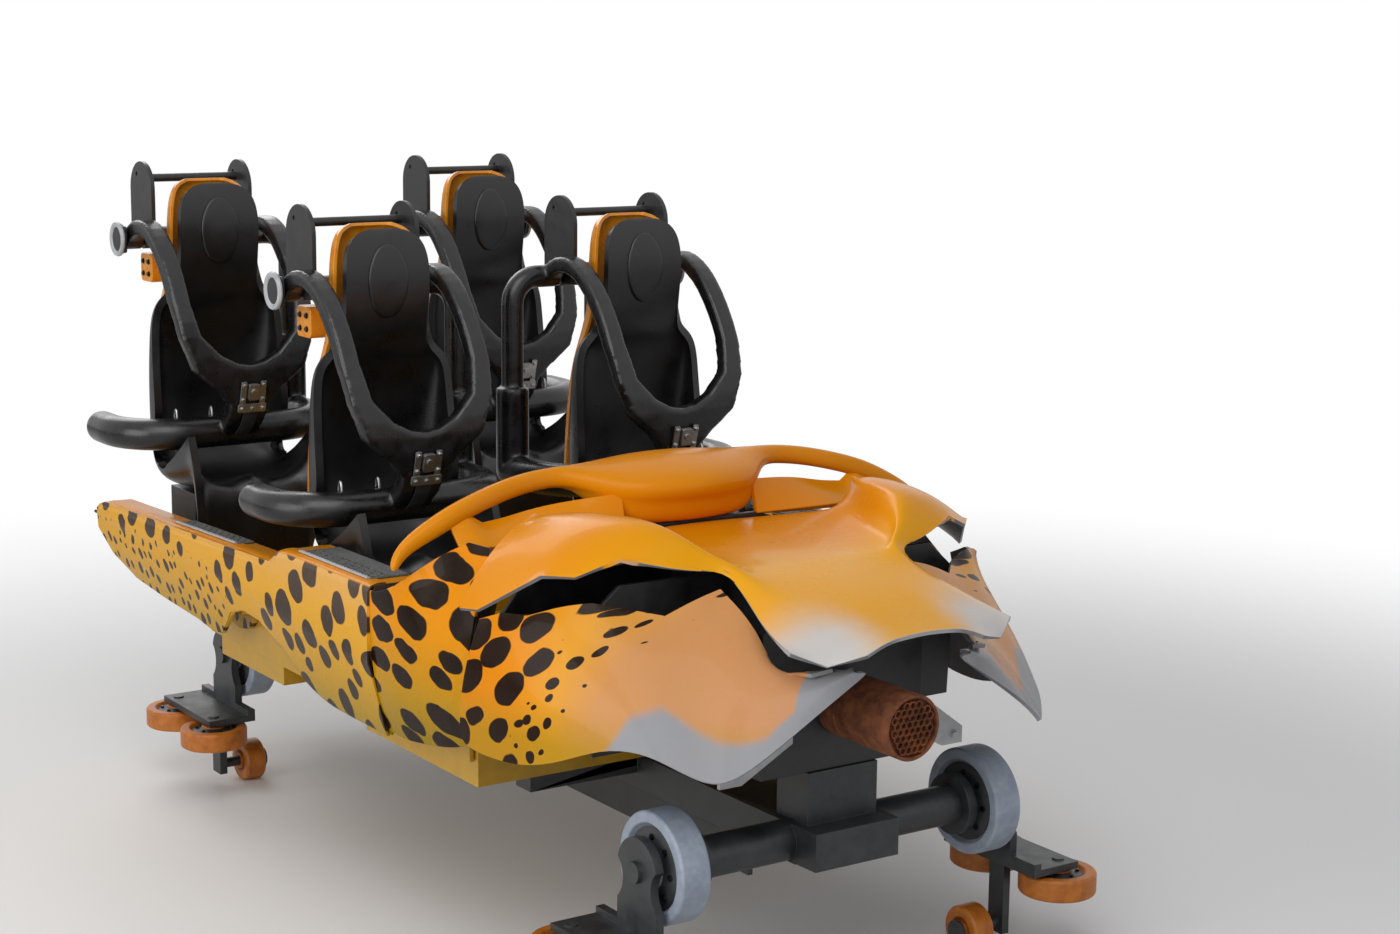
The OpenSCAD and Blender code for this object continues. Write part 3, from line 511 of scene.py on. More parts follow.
# %% Turned parts, plates and bars
def add_turned(form, profile, place, steps=40):
    """A solid turned from (radius, height) pairs up its own z, with both ends on or near the axis."""
    rings = []
    for radius, height in profile:
        rings.append([place @ Vector((max(radius, 1e-4) * math.cos(t), max(radius, 1e-4) * math.sin(t), height))
                      for t in (2 * math.pi * k / steps for k in range(steps))])
    add_rings(form, rings)


def add_ring(form, profile, place, steps=48):
    """A ring whose closed section of (radius, height) pairs is turned once round its own z."""
    rings = [[place @ Vector((r * math.cos(t), r * math.sin(t), h)) for r, h in profile]
             for t in (2 * math.pi * k / steps for k in range(steps))]
    add_rings(form, rings, joined=True)


def add_plate(form, outline, thickness, place):
    """An outline in its own x and y, from z = 0 to the thickness."""
    add_rings(form, [[place @ Vector((x, y, z)) for x, y in outline] for z in (0, thickness)])


def add_bar(form, path, section, up=(0, 0, 1)):
    """A section of (side, up) pairs swept along a path."""
    rings = []
    path = [Vector(p) for p in path]
    for i, p in enumerate(path):
        t = (path[min(i + 1, len(path) - 1)] - path[max(i - 1, 0)]).normalized()
        side = t.cross(Vector(up)).normalized()
        rings.append([p + side * a + side.cross(t) * b for a, b in section])
    add_rings(form, rings)


trial = bmesh.new()
add_turned(trial, [(0, 0), (9 * mm, 0), (9 * mm, 5 * mm), (0, 5 * mm)], Matrix(), 24)
print("a turned button has", len(trial.faces), "faces")
trial.free()

# %% [markdown]
# Sections and paths are plain lists of points: a circle, a box with rounded corners, and a smooth curve through a few
# given points.

# %% Sections and paths
def circle(radius, steps=16):
    return [(radius * math.cos(2 * math.pi * k / steps), radius * math.sin(2 * math.pi * k / steps))
            for k in range(steps)]


def rounded_box(width, height, corner, steps=4):
    points = []
    for cx, cy, start in ((1, 1, 0), (-1, 1, 90), (-1, -1, 180), (1, -1, 270)):
        for k in range(steps + 1):
            t = math.radians(start + 90 * k / steps)
            points.append((cx * (width / 2 - corner) + corner * math.cos(t),
                           cy * (height / 2 - corner) + corner * math.sin(t)))
    return points


def smooth_path(points, steps=6):
    """A Catmull-Rom curve through the points."""
    points = [Vector(p) for p in points]
    ends = [points[0], *points, points[-1]]
    curve = []
    for a, b, c, d in zip(ends, ends[1:], ends[2:], ends[3:]):
        for k in range(steps):
            t = k / steps
            curve.append(0.5 * (2 * b + (c - a) * t + (2 * a - 5 * b + 4 * c - d) * t * t
                                + (3 * b - 3 * c + d - a) * t ** 3))
    return curve + [points[-1]]


print("a rounded box has", len(rounded_box(1, 1, 0.1)), "points")

# %% [markdown]
# A sharp edge never looks real: on a machine each one is eased a little and catches the light. A narrow Bevel does
# that. Parts too small to show it are only shaded sharp at their edges, and soft parts are rounded by Subdivision
# Surface.

# %% Finishing a piece
def as_object(form, name):
    """The form as a smooth mesh object at the origin."""
    mesh = bpy.data.meshes.new(name)
    form.to_mesh(mesh)
    form.free()
    mesh.shade_smooth()
    piece = bpy.data.objects.new(name, mesh)
    scene.collection.objects.link(piece)
    return piece


def ease_edges(piece, width, from_deg):
    easing = piece.modifiers.new("easing", "BEVEL")
    easing.width = width
    easing.segments = 2
    easing.limit_method = "ANGLE"
    easing.angle_limit = math.radians(from_deg)
    easing.harden_normals = True


def round_off(piece):
    rounder = piece.modifiers.new("rounder", "SUBSURF")
    rounder.levels = rounder.render_levels = 2


trial = bmesh.new()
add_ring(trial, [(8 * mm, 0), (10 * mm, 0), (10 * mm, 2 * mm), (8 * mm, 2 * mm)], Matrix(), 24)
print("a washer has", len(trial.faces), "faces before easing")
trial.free()

# %% [markdown]
# The last two helpers hand a form over as a finished piece, and add the commonest small part: a hexagon bolt head that
# tapers a little at the top and sits on a washer.

# %% Pieces and bolts
def finish_piece(form, name, body, material, slot, edge=0.0, soft=False, nodes=()):
    """Turns a form into a piece with its faces outward: edges eased by edge, else sharp unless the part is soft."""
    bmesh.ops.recalc_face_normals(form, faces=form.faces)
    piece = as_object(form, name)
    if edge:
        ease_edges(piece, edge, 35)
    elif not soft:
        piece.data.set_sharp_from_angle(angle=math.radians(35))
    return place_piece(piece, body, material, slot, *nodes)


def hex_bolt(form, point, axis, across, high):
    """A hexagon head on a washer."""
    place = frame_at(point, axis)
    add_turned(form, [(0, 0), (across * 0.72, 0), (across * 0.72, 0.18 * high), (0, 0.18 * high)], place, 20)
    head = [(across * 0.56 * math.cos(math.radians(60 * k)), across * 0.56 * math.sin(math.radians(60 * k)))
            for k in range(6)]
    rings = [[place @ Vector((x * s, y * s, h)) for x, y in head]
             for s, h in ((1, 0.15 * high), (1, 0.85 * high), (0.82, high))]
    add_rings(form, rings)


print("edges are eased from 35 degrees on")

# %% [markdown]
# ## Plates and boxes of the CAD
# Plates and welded parts keep their CAD shape. A node's mesh is loose triangles, so a copy is merged first, flat faces
# are joined, and the edges are eased. The sill boxes of the sides are the first to be made this way.

# %% Welded and eased copies
weld_gap = 0.02 * mm


def welded(node, name):
    mesh = frame["nodes"][node].data.copy()
    mesh.name = name
    if "custom_normal" in mesh.attributes:
        mesh.attributes.remove(mesh.attributes["custom_normal"])
    mesh.materials.clear()
    form = bmesh.new()
    form.from_mesh(mesh)
    bmesh.ops.remove_doubles(form, verts=form.verts, dist=weld_gap)
    form.to_mesh(mesh)
    form.free()
    piece = bpy.data.objects.new(name, mesh)
    scene.collection.objects.link(piece)
    return piece


def eased(node, name, width=3 * mm):
    """A plate or box with its sharp edges eased by a narrow bevel."""
    piece = welded(node, name)
    form = bmesh.new()
    form.from_mesh(piece.data)
    bmesh.ops.dissolve_limit(form, angle_limit=math.radians(1), verts=form.verts, edges=form.edges)
    form.to_mesh(piece.data)
    form.free()
    piece.data.shade_smooth()
    ease_edges(piece, width, 30)
    return piece


for side in sides:
    box = eased(f"side_panel_{side}", f"side_{side}_shell")
    place_piece(box, "car", "side", "orange_paint", f"side_panel_{side}")
    print(box.name, len(box.data.polygons), "faces before easing")

# %% [markdown]
# ## Laminates
# Side skins, hood, cheeks, waist and seats are thin shells from moulds, with long soft curves that end in a jagged or
# rolled edge. A cage of points gives such a form: each row crosses the panel at one station. Subdivision Surface rounds
# the cage, corners of its border that turn sharply are pinned so that the notches stay crisp, Solidify gives the shell
# its wall, and a narrow Bevel eases the cut edge. Two numbers on each point are kept for the paint: "band", how far it
# lies into the white band, and "rim", 1 on the border.

# %% Laminates
wall = 9 * mm


def laminate(name, rows, bands, outward, pin_deg=18, thickness=wall, pin_last=True):
    """A sheet through rows of points in millimetres, whose front looks outward. Pin_last pins the rows' ends too."""
    form = bmesh.new()
    band = form.verts.layers.float.new("band")
    rim = form.verts.layers.float.new("rim")
    pinned = form.verts.layers.float.new("crease_vert")
    grid = [[form.verts.new(Vector(p) * mm) for p in row] for row in rows]
    for points, shares in zip(grid, bands):
        for point, share in zip(points, shares):
            point[band] = share
    free = set() if pin_last else {row[-1] for row in grid}
    for a, b in zip(grid, grid[1:]):
        for k in range(len(a) - 1):
            form.faces.new((a[k], a[k + 1], b[k + 1], b[k]))
    form.normal_update()
    if sum((f.normal * f.calc_area() for f in form.faces), Vector()).dot(Vector(outward)) < 0:
        bmesh.ops.reverse_faces(form, faces=form.faces)
    for point in form.verts:
        border = [e.other_vert(point).co - point.co for e in point.link_edges if e.is_boundary]
        if border:
            point[rim] = 1.0
            if point not in free and math.pi - border[0].angle(border[1]) > math.radians(pin_deg):
                point[pinned] = 1.0
    piece = as_object(form, name)
    round_off(piece)
    solid = piece.modifiers.new("wall", "SOLIDIFY")
    solid.thickness = thickness
    solid.offset = -1
    ease_edges(piece, 2.5 * mm, 50)
    return piece


print("laminates are", round(wall / mm), "mm thick")

# %% [markdown]
# ### Sides
# Over each sill box lies a moulded skin. Its top edge is rounded, and a crease divides an upper band from the lower
# body, which leans in towards the track and is cut out in an arch. The rows cross the skin at stations along the car,
# and three outlines give the heights of its top, crease and foot there, all in millimetres.

# %% Outlines of the side
def level_at(x, outline):
    """The height of an outline of (x, z) pairs at x."""
    for (x0, z0), (x1, z1) in zip(outline, outline[1:]):
        if x0 <= x <= x1:
            return z0 + (z1 - z0) * (x - x0) / (x1 - x0)
    return outline[-1][1]


top_line = [(-1408, 792), (-1385, 807), (-1340, 820), (-195, 854), (-150, 890), (-110, 898), (380, 902)]
crease_line = [(-1408, 771), (-1340, 757), (-1000, 756), (-500, 745), (-250, 728), (0, 714), (380, 700)]
foot_line = [(-1408, 755), (-1400, 733), (-1340, 658), (-1200, 608), (-1000, 588), (-760, 573), (-660, 558),
             (-600, 568), (-500, 648), (-400, 676), (-300, 670), (-200, 623), (-60, 543), (60, 518), (380, 518)]
stations = [-1408, -1398, -1370, -1330, -1200, -1050, -900, -760, -690, -650, -600, -550, -500, -450, -400, -350,
            -300, -250, -200, -180, -150, -120, -60, 0, 60, 200, 340, 379.5]
print("side stations", len(stations), "over", stations[-1] - stations[0], "mm")

# %% [markdown]
# Each row runs from the inner edge of the sill's top, round the shoulder and down to the foot.

# %% Side skins
for side, sign in sides.items():
    rows = []
    for x in stations:
        top, crease, foot = (level_at(x, line) for line in (top_line, crease_line, foot_line))
        crease = max(min(crease, top - 18), foot + 20)
        below = crease - foot
        row = [(704, top + 1), (728, top + 3), (746, top - 3), (755, top - 16), (757, (top + crease) / 2),
               (757, crease + 6), (751, crease - 3), (748 - 0.1 * below, (crease + foot) / 2),
               (744 - 0.2 * below, foot + 4), (738 - 0.2 * below, foot)]
        rows.append([Vector((x, sign * y, z)) for y, z in row])
    unbanded = [[0] * len(row)] * len(rows)
    skin = laminate(f"side_{side}_skin", rows, unbanded, (0, sign, 0.2), 24, 5 * mm)
    place_piece(skin, "car", "side", "orange_paint")
    print(skin.name, len(rows), "by", len(row))

# %% [markdown]
# ## The moulded nose
# The hood is one sheet from cheek to cheek. Each row is half a cross-section: the middle, the valley beside the raised
# brow, the crest, the shoulder and the edge, joined by a curve and mirrored. The row's lean sweeps its middle back. The
# last number is the share of white paint at that row.

# %% Hood
hood_rows = [  # edge x, lean, middle z, then y and z of the valley, crest, shoulder and edge, and the band
    (800, 140, 1027, 420, 1018, 470, 1100, 610, 1035, 736, 930, 0),
    (838, 110, 1027, 385, 1018, 435, 1118, 580, 1062, 712, 930, 0),
    (900, 75, 1024, 350, 1019, 392, 1130, 550, 1085, 665, 976, 0),
    (962, 40, 1022, 312, 1020, 358, 1134, 510, 1098, 620, 1022, 0),
    (1020, 10, 1020, 284, 1020, 334, 1129, 465, 1098, 566, 1022, 0),
    (1062, 0, 1018, 262, 1020, 312, 1108, 400, 1092, 475, 1062, 0),
    (1120, 0, 1016, 238, 1020, 264, 1060, 315, 1054, 366, 1034, 0),
    (1146, 0, 1014, 170, 1015, 222, 1038, 236, 1031, 246, 1020, 0),
    (1227, 0, 1007, 150, 1007, 212, 1004, 236, 996, 254, 987, 0),
    (1312, 0, 995, 150, 994, 214, 988, 250, 975, 280, 958, 0.1),
    (1387, 0, 982, 150, 980, 212, 973, 262, 956, 300, 935, 0.4),
    (1480, 0, 959, 130, 955, 184, 941, 250, 930, 312, 916, 0.9),
    (1524, 0, 948, 105, 943, 160, 928, 205, 906, 245, 885, 1),
    (1560, 0, 940, 73, 936, 110, 929, 140, 919, 166, 908, 1)]
rows, bands = [], []
for edge_x, lean, middle_z, *pairs, share in hood_rows:
    half = smooth_path([(0, 0, middle_z)] + [(0, y, z) for y, z in zip(pairs[::2], pairs[1::2])], 2)
    edge_y = pairs[-2]
    half = [Vector((edge_x - lean * (1 - (p.y / edge_y) ** 4), p.y, p.z)) for p in half]
    rows.append([Vector((p.x, -p.y, p.z)) for p in half[:0:-1]] + half)
    bands.append([share * min(1, max(0, abs(p.y) - 60) / 140) for p in rows[-1]])
hood = laminate("hood_shell", rows, bands, (0, 0, 1))
place_piece(hood, "car", "hood", "glossy_nose", "nose_hood")
print("hood cage", len(rows), "by", len(rows[0]))

# %% [markdown]
# Each cheek starts beside the waist, dips behind the wheel, swings down to its lowest lobe and hooks inwards under the
# hood's front corner. A row gives its top, its foot, and where the grey-white band begins on the way down. The notches
# belong to the top edge alone, so the points below it follow a smoothed line, and the face stays fair.

# %% Cheeks
cheek_rows = [  # top, foot, share of the way down where the band begins
    ((822, 697, 904), (760, 712, 595), 1.6), ((895, 683, 931), (865, 695, 584), 1.6),
    ((963, 655, 934), (996, 680, 590), 1.5), ((1013, 600, 960), (1096, 650, 618), 1.3),
    ((1050, 540, 967), (1197, 610, 696), 1.05), ((1072, 480, 953), (1295, 570, 708), 0.74),
    ((1147, 410, 941), (1375, 520, 654), 0.62), ((1163, 335, 975), (1411, 480, 635), 0.7),
    ((1168, 276, 990), (1439, 455, 630), 0.76), ((1253, 262, 943), (1469, 430, 657), 0.8),
    ((1318, 262, 890), (1494, 370, 700), 0.85), ((1378, 272, 842), (1505, 300, 751), 0.75),
    ((1470, 245, 850), (1511, 195, 815), -0.1), ((1496, 150, 866), (1518, 125, 856), -0.5)]
bulge = 26
steps = 6


def faired(points, rounds=3):
    """The same line of points after a few rounds of averaging with the neighbours, ends held."""
    points = [Vector(p) for p in points]
    for _ in range(rounds):
        points = [points[0], *((a + 2 * b + c) / 4 for a, b, c in zip(points, points[1:], points[2:])), points[-1]]
    return points


fair_top = faired([top for top, foot, start in cheek_rows])
fair_foot = faired([foot for top, foot, start in cheek_rows], 1)
for side, sign in sides.items():
    rows, bands = [], []
    for (top, foot, start), soft_top, soft_foot in zip(cheek_rows, fair_top, fair_foot):
        shares = [k / steps for k in range(steps + 1)]
        swell = [bulge * 4 * t * (1 - t) for t in shares]
        rows.append([(soft_top if t else Vector(top)).lerp(soft_foot, t) + Vector((0.4 * b, b, 0))
                     for t, b in zip(shares, swell)])
        bands.append([t - start for t in shares])
    rows = [[Vector((p.x, sign * p.y, p.z)) for p in row] for row in rows]
    piece = laminate(f"cheek_{side}_shell", rows, bands, (0, sign, 0), pin_last=False)
    place_piece(piece, "car", "cheek", "peach_paint", f"cheek_{side}")
print("cheek cages", len(cheek_rows), "by", steps + 1)

# %% [markdown]
# The waist closes the body between the sill and the cheek. It leans in at the top, where it passes under the cowl. Its
# table gives whole ribs, point by point, because its front edge follows the cheek and its rear edge the sill.

# %% Waist
waist_ribs = [  # x, y, z down each rib, from the sill to the cheek
    [(x, y, z) for y, z in ((750, 889), (751, 850), (750, 760), (738, 640), (700, 532))] for x in (380.5, 400)]
waist_ribs += [
    [(462, 749, 905), (462, 751, 855), (462, 750, 760), (462, 738, 640), (462, 700, 530)],
    [(546, 739, 948), (540, 745, 870), (530, 745, 760), (524, 735, 640), (520, 694, 535)],
    [(590, 688, 1000), (612, 730, 880), (615, 735, 760), (606, 725, 640), (600, 686, 545)],
    [(640, 622, 1040), (695, 712, 890), (695, 724, 760), (686, 715, 640), (680, 678, 560)],
    [(700, 600, 1035), (786, 694, 885), (776, 706, 780), (750, 704, 650), (744, 668, 585)]]
for side, sign in sides.items():
    rows = [[Vector((x, sign * y, z)) for x, y, z in rib] for rib in waist_ribs]
    piece = laminate(f"waist_{side}_shell", rows, [[0] * 5] * len(rows), (0, sign, 0))
    place_piece(piece, "car", "waist", "orange_paint", "waist_panels")
print("waist ribs", len(waist_ribs))

# %% [markdown]
# Behind the skins a black welded frame carries them and the crash buffer: a floor plate, two long plates, a bulkhead
# and two cross plates that are cut to the room under the hood. Each is an outline given a thickness.

# %% Nose frame
upright_along = Matrix(((1, 0, 0, 0), (0, 0, 1, 0), (0, 1, 0, 0), (0, 0, 0, 1)))  # a plate in x and z
upright_across = Matrix(((0, 0, 1, 0), (1, 0, 0, 0), (0, 1, 0, 0), (0, 0, 0, 1)))  # a plate in y and z
frame_foot = 0.5605
form = bmesh.new()
long_plate = [(0.700, frame_foot), (1.250, frame_foot), (1.250, 0.960), (1.120, 0.985), (0.700, 0.985)]
for y in (-0.150, 0.136):
    add_plate(form, long_plate, 14 * mm, Matrix.Translation((0, y, 0)) @ upright_along)
for x, thickness, half in ((1.250, 19.5 * mm, [(0.230, frame_foot), (0.230, 0.900), (0.160, 0.950)]),
                           (0.770, 12 * mm, [(0.600, frame_foot), (0.640, 0.860), (0.540, 0.985)]),
                           (1.010, 12 * mm, [(0.520, 0.600), (0.535, 0.915), (0.450, 0.990)])):
    outline = half + [(-y, z) for y, z in half[::-1]]
    add_plate(form, outline, thickness, Matrix.Translation((x, 0, 0)) @ upright_across)
add_plate(form, [(0.660, -0.230), (1.250, -0.230), (1.250, 0.230), (0.660, 0.230)], 18 * mm,
          Matrix.Translation((0, 0, frame_foot)))
plates = finish_piece(form, "nose_frame_plates", "car", "frame", "black_steel", 2 * mm, False, ["nose_frame"])
print("nose frame", len(plates.data.polygons), "faces")

# %% [markdown]
# The cowl is a closed rim that arches across the car from two free tips and swells into a bill over the middle. Rings
# of points follow it from tip to tip: a small section along the rim, and three given outlines over the bill.

# %% Cowl
cowl_rim = [  # along the middle of the rim, from a tip to the bill
    (580, 790, 978), (560, 768, 1006), (548, 724, 1034), (544, 660, 1063), (540, 600, 1090), (528, 520, 1113),
    (514, 440, 1131), (508, 360, 1142), (524, 280, 1148)]
rim_section = [(-20, -14), (-10, -24), (8, -24), (20, -20), (24, -8), (22, 8), (12, 22), (-4, 25), (-16, 20), (-22, 4)]
bill = [  # y, then x and z round the bill, from its foot's rear edge
    (205, ((560, 1027), (640, 1027), (641, 1088), (646, 1098), (646, 1122), (628, 1144), (575, 1164), (510, 1172),
           (462, 1164), (470, 1136))),
    (105, ((588, 1027), (672, 1027), (673, 1086), (686, 1096), (692, 1122), (678, 1146), (605, 1172), (515, 1183),
           (452, 1174), (460, 1146))),
    (0, ((600, 1027), (688, 1027), (689, 1086), (704, 1096), (712, 1122), (700, 1146), (620, 1174), (520, 1186),
         (450, 1178), (458, 1150)))]
rings = []
for i, point in enumerate(cowl_rim):
    run = (Vector(cowl_rim[min(i + 1, 8)]) - Vector(cowl_rim[max(i - 1, 0)])).normalized()
    across = Vector((0, 0, 1)).cross(run).normalized()
    above = run.cross(across)
    size = min(1, 0.4 + i * 0.2)
    rings.append([Vector(point) + (across * a + above * b) * size for a, b in rim_section])
rings += [[Vector((x, y, z)) for x, z in ring] for y, ring in bill]
rings += [[Vector((p.x, -p.y, p.z)) for p in ring] for ring in rings[-2::-1]]
form = bmesh.new()
add_rings(form, [[p * mm for p in ring] for ring in rings])
cowl = finish_piece(form, "cowl_shell", "car", "cowl", "glossy_nose", 0, True, ["cowl"])
round_off(cowl)
print("cowl rings", len(rings))

# %% [markdown]
# Under the rim a low wall stands on the hood's rear edge, and leaves a slot between the two.

# %% Cowl walls
wall_rows = [  # y, then x and z of the low wall's top and foot, from the bill to the waist
    (195, (632, 1112), (655, 1027)), (300, (585, 1100), (655, 1027)), (400, (556, 1085), (655, 1027)),
    (470, (548, 1068), (655, 1027)), (535, (548, 1062), (640, 1020)), (580, (544, 1092), (630, 1020)),
    (625, (546, 1074), (600, 1020))]
for side, sign in sides.items():
    rows = [[Vector((x, sign * y, z)) for x, z in (top, foot)] for y, top, foot in wall_rows]
    piece = laminate(f"cowl_{side}_wall", rows, [[0, 0]] * len(rows), (1, 0, 0.5), 18, 14 * mm)
    place_piece(piece, "car", "cowl", "glossy_nose")
print("cowl wall stations", len(wall_rows))

# %% [markdown]
# ## Seats
# Each seat has a place of its own. The joint of its restraint says where the pivot is, and the top of the headrest is
# 185 mm ahead of it and 170 mm above. The left seats are mirror images of the right ones.

# %% Seat places
pivot_to_head = Vector((0.185, 0, 0.170))
seat_at = {}
for joint in frame["joints"]:
    if joint["name"].startswith("restraint_"):
        name = joint["name"][len("restraint_"):-len("_hinge")]
        seat_at[name] = Vector(joint["pos_m"]) + pivot_to_head
turn_of = {name: (-1 if name.endswith("left") else 1) for name in seat_at}


def at_seat(name, x, y, z):
    """A point given in millimetres from the headrest's top, mirrored for a left seat."""
    return seat_at[name] + Vector((x, y * turn_of[name], z)) * mm


print({name: [round(v, 3) for v in place] for name, place in seat_at.items()})

# %% [markdown]
# A seat is one moulding of black polyethylene. Going down its rows, the headrest has a rounded top, the back widens
# at the shoulders into two wings that hold the body, and the pan turns forward and ends in a lip with a raised middle.
# Sculpting could give this too, but a table keeps the four seats alike and easy to change. Each row is one
# cross-section: half a turn from wing to wing, whose depth and crest come from the table.

# %% Seats
seat_half = 185
seat_wall = 22 * mm
seat_rows = [  # x, z, way the face looks in degrees above forward, half width as a share, depth of the wings, crest
    (-12, -2, 25, 0.16, 0, 0), (-6, -6, 18, 0.34, 0, 0), (2, -20, 10, 0.5, 0, 0), (10, -46, 0, 0.6, 0, 0),
    (16, -84, 0, 0.65, 0, 0), (20, -140, 0, 0.66, 0, 0), (14, -205, 0, 0.65, 0, 0), (0, -270, 0, 0.65, 4, 0),
    (-28, -325, 0, 0.7, 14, 0), (-48, -350, 0, 0.9, 34, 0), (-70, -390, 0, 0.98, 56, 0), (-100, -480, 0, 1, 90, 0),
    (-120, -600, 5, 1.02, 125, 0), (-125, -690, 12, 1.02, 140, 0), (-105, -790, 40, 1.02, 140, 0),
    (-40, -860, 75, 1, 70, 0), (30, -868, 90, 0.98, 50, 0), (110, -866, 90, 0.98, 84, 14),
    (170, -858, 88, 0.98, 120, 36), (215, -862, 85, 0.98, 162, 44), (232, -890, 60, 0.98, 90, 36),
    (238, -950, 0, 0.92, 28, 0), (232, -1090, 0, 0.84, 8, 0)]


def half_turn(count):
    """Cosine and signed sine from one wing, at -90 degrees, to the other."""
    turns = [math.radians(90 * k / count) for k in range(-count, count + 1)]
    return [(abs(math.cos(t)), math.sin(t)) for t in turns]


for name in seat_at:
    rows = []
    for x, z, looks, share, depth, crest in seat_rows:
        ahead, above, row = math.cos(math.radians(looks)), math.sin(math.radians(looks)), []
        for c, sine in half_turn(8):
            y = math.copysign(seat_half * share * abs(sine) ** 0.8, sine)
            lift = depth * (1 - c ** 0.7) + crest * math.exp(-y * y / 900)
            row.append(at_seat(name, x + lift * ahead, y, z + lift * above) / mm)
        rows.append(row)
    unbanded = [[0] * len(row)] * len(rows)
    seat = laminate(f"seat_{name}_moulding", rows, unbanded, (1, 0, 0.4), 50, seat_wall)
    place_piece(seat, "car", "seat", "black_moulding", f"seat_{name}")
print("seat cages", len(seat_rows), "by", len(row))

# %% [markdown]
# Behind the headrest and the back stands a shell moulded in orange, which shows as a bright edge beside the black.

# %% Back shells
back_rows = [  # x, z, half width, depth of the sides
    (-95, 8, 60, 16), (-110, -4, 100, 46), (-116, -50, 126, 74), (-116, -150, 134, 82), (-122, -250, 132, 78),
    (-140, -330, 138, 62), (-160, -420, 158, 54), (-175, -600, 168, 54), (-178, -755, 168, 44)]
for name in seat_at:
    rows = [[at_seat(name, x + depth * (1 - c ** 0.6), math.copysign(half * abs(sine) ** 0.7, sine), z) / mm
             for c, sine in half_turn(6)] for x, z, half, depth in back_rows]
    unbanded = [[0] * len(rows[0])] * len(rows)
    back = laminate(f"seat_{name}_back_shell", rows, unbanded, (-1, 0, 0), 50, 10 * mm)
    place_piece(back, "car", "shell", "orange_shell", "seat_backs")
print("back shell cages", len(back_rows), "by", len(rows[0]))

# %% [markdown]
# ## Restraints
# Each restraint is steel inside and rubber outside, with no sharp edge anywhere. The CAD solid has the right path but
# square sections. Tubes on curves would leave seams where the arms meet the yoke, so a voxel remesh turns the copy into
# one even skin instead. Smoothing rounds it, and a slight swelling gives back the size that smoothing takes.

# %% Rubber skins
voxel = 5 * mm
padding = 1.5 * mm


def rubber_skin(node, name, rounds=12):
    piece = welded(node, name)
    skin = piece.modifiers.new("skin", "REMESH")
    skin.mode = "VOXEL"
    skin.voxel_size = voxel
    relax = piece.modifiers.new("relax", "SMOOTH")
    relax.factor = 0.5
    relax.iterations = rounds
    swell = piece.modifiers.new("swell", "DISPLACE")
    swell.mid_level = 0
    swell.strength = padding
    ready = piece.evaluated_get(bpy.context.evaluated_depsgraph_get())
    mesh = bpy.data.meshes.new_from_object(ready)
    piece.modifiers.clear()
    piece.data = mesh
    mesh.shade_smooth()
    return piece


for name in seat_at:
    skin = rubber_skin(f"restraint_{name}", f"restraint_{name}_skin")
    place_piece(skin, f"restraint_{name}_body", "rubber", "black_rubber", f"restraint_{name}")
    print(skin.name, len(skin.data.polygons), "faces")

# %% [markdown]
# ## Frame, carriers and wheels
# Chassis, floor, seat frames, carriers and wheels keep their CAD shape, with their edges eased as the sill boxes' were.

# %% Plates and wheels
for node, material, slot in (("chassis", "chassis", "dark_steel"), ("floor_tub", "floor", "yellow_floor"),
                             ("firewall", "frame", "black_moulding"),
                             ("seat_bases", "frame", "black_steel"), ("head_frames", "frame", "black_steel"),
                             ("grip_plates", "grip", "grip_sheet")):
    place_piece(eased(node, f"{node}_eased", 2 * mm), "car", material, slot, node)
for node in frame["nodes"]:
    if node.startswith("carrier_"):
        place_piece(eased(node, f"{node}_eased"), "car", "chassis", "dark_steel", node)
    elif "wheel" in node:
        amber = not node.startswith("run_")
        place_piece(eased(node, f"{node}_tread"), f"{node}_body", "amber" if amber else "running",
                    "amber_tread" if amber else "running_tread", node)
print("wheels", sum("wheel" in node for node in frame["nodes"]))

# %% [markdown]
# ## Metal and webbing on the seats
# The yoke carries a zinc-plated latch: a channel bolted over the rubber, with a tongue that a belt runs into. It leans
# back with the yoke, so its parts are placed in the channel's own directions: across it, down it and out of it.

# %% Latch plates
latch_z, latch_x, latch_tilt = -598, 222, math.radians(15)
latch_out = Vector((math.cos(latch_tilt), 0, -math.sin(latch_tilt)))
latch_down = Vector((-math.sin(latch_tilt), 0, -math.cos(latch_tilt)))


def on_latch(name, across, drop, proud=0.0):
    """A point of a seat's latch, in millimetres across the channel, down it and out of it."""
    return at_seat(name, latch_x, across, latch_z) + latch_down * drop * mm + latch_out * proud * mm


def latch_frame(name, across, drop):
    return frame_at(on_latch(name, across, drop), latch_out, (0, 1, 0))


def add_latch(form, name):
    """Two cheeks with bolts, a foot plate, the tongue and its button."""
    for across in (-30, 30):
        add_plate(form, rounded_box(17 * mm, 74 * mm, 4 * mm), 5 * mm, latch_frame(name, across, -8))
        for drop in (-34, 10):
            hex_bolt(form, on_latch(name, across, drop, 5), latch_out, 11 * mm, 5 * mm)
    add_plate(form, rounded_box(86 * mm, 26 * mm, 5 * mm), 7 * mm, latch_frame(name, 0, 36))
    add_plate(form, rounded_box(34 * mm, 48 * mm, 6 * mm), 12 * mm, latch_frame(name, 0, -14))
    button = [(0, 12 * mm), (9 * mm, 12 * mm), (9 * mm, 16 * mm), (0, 16 * mm)]
    add_turned(form, button, latch_frame(name, 0, -16), 24)
    for across in (-32, 0, 32):
        hex_bolt(form, on_latch(name, across, 37, 7), latch_out, 10 * mm, 5 * mm)


print("latches lean back by", round(math.degrees(latch_tilt)), "degrees")

# %% [markdown]
# Two small hoops of wire stand on the lap roll. The belt is a short length of 44 mm webbing, swept along a smooth path
# that goes down behind the roll.

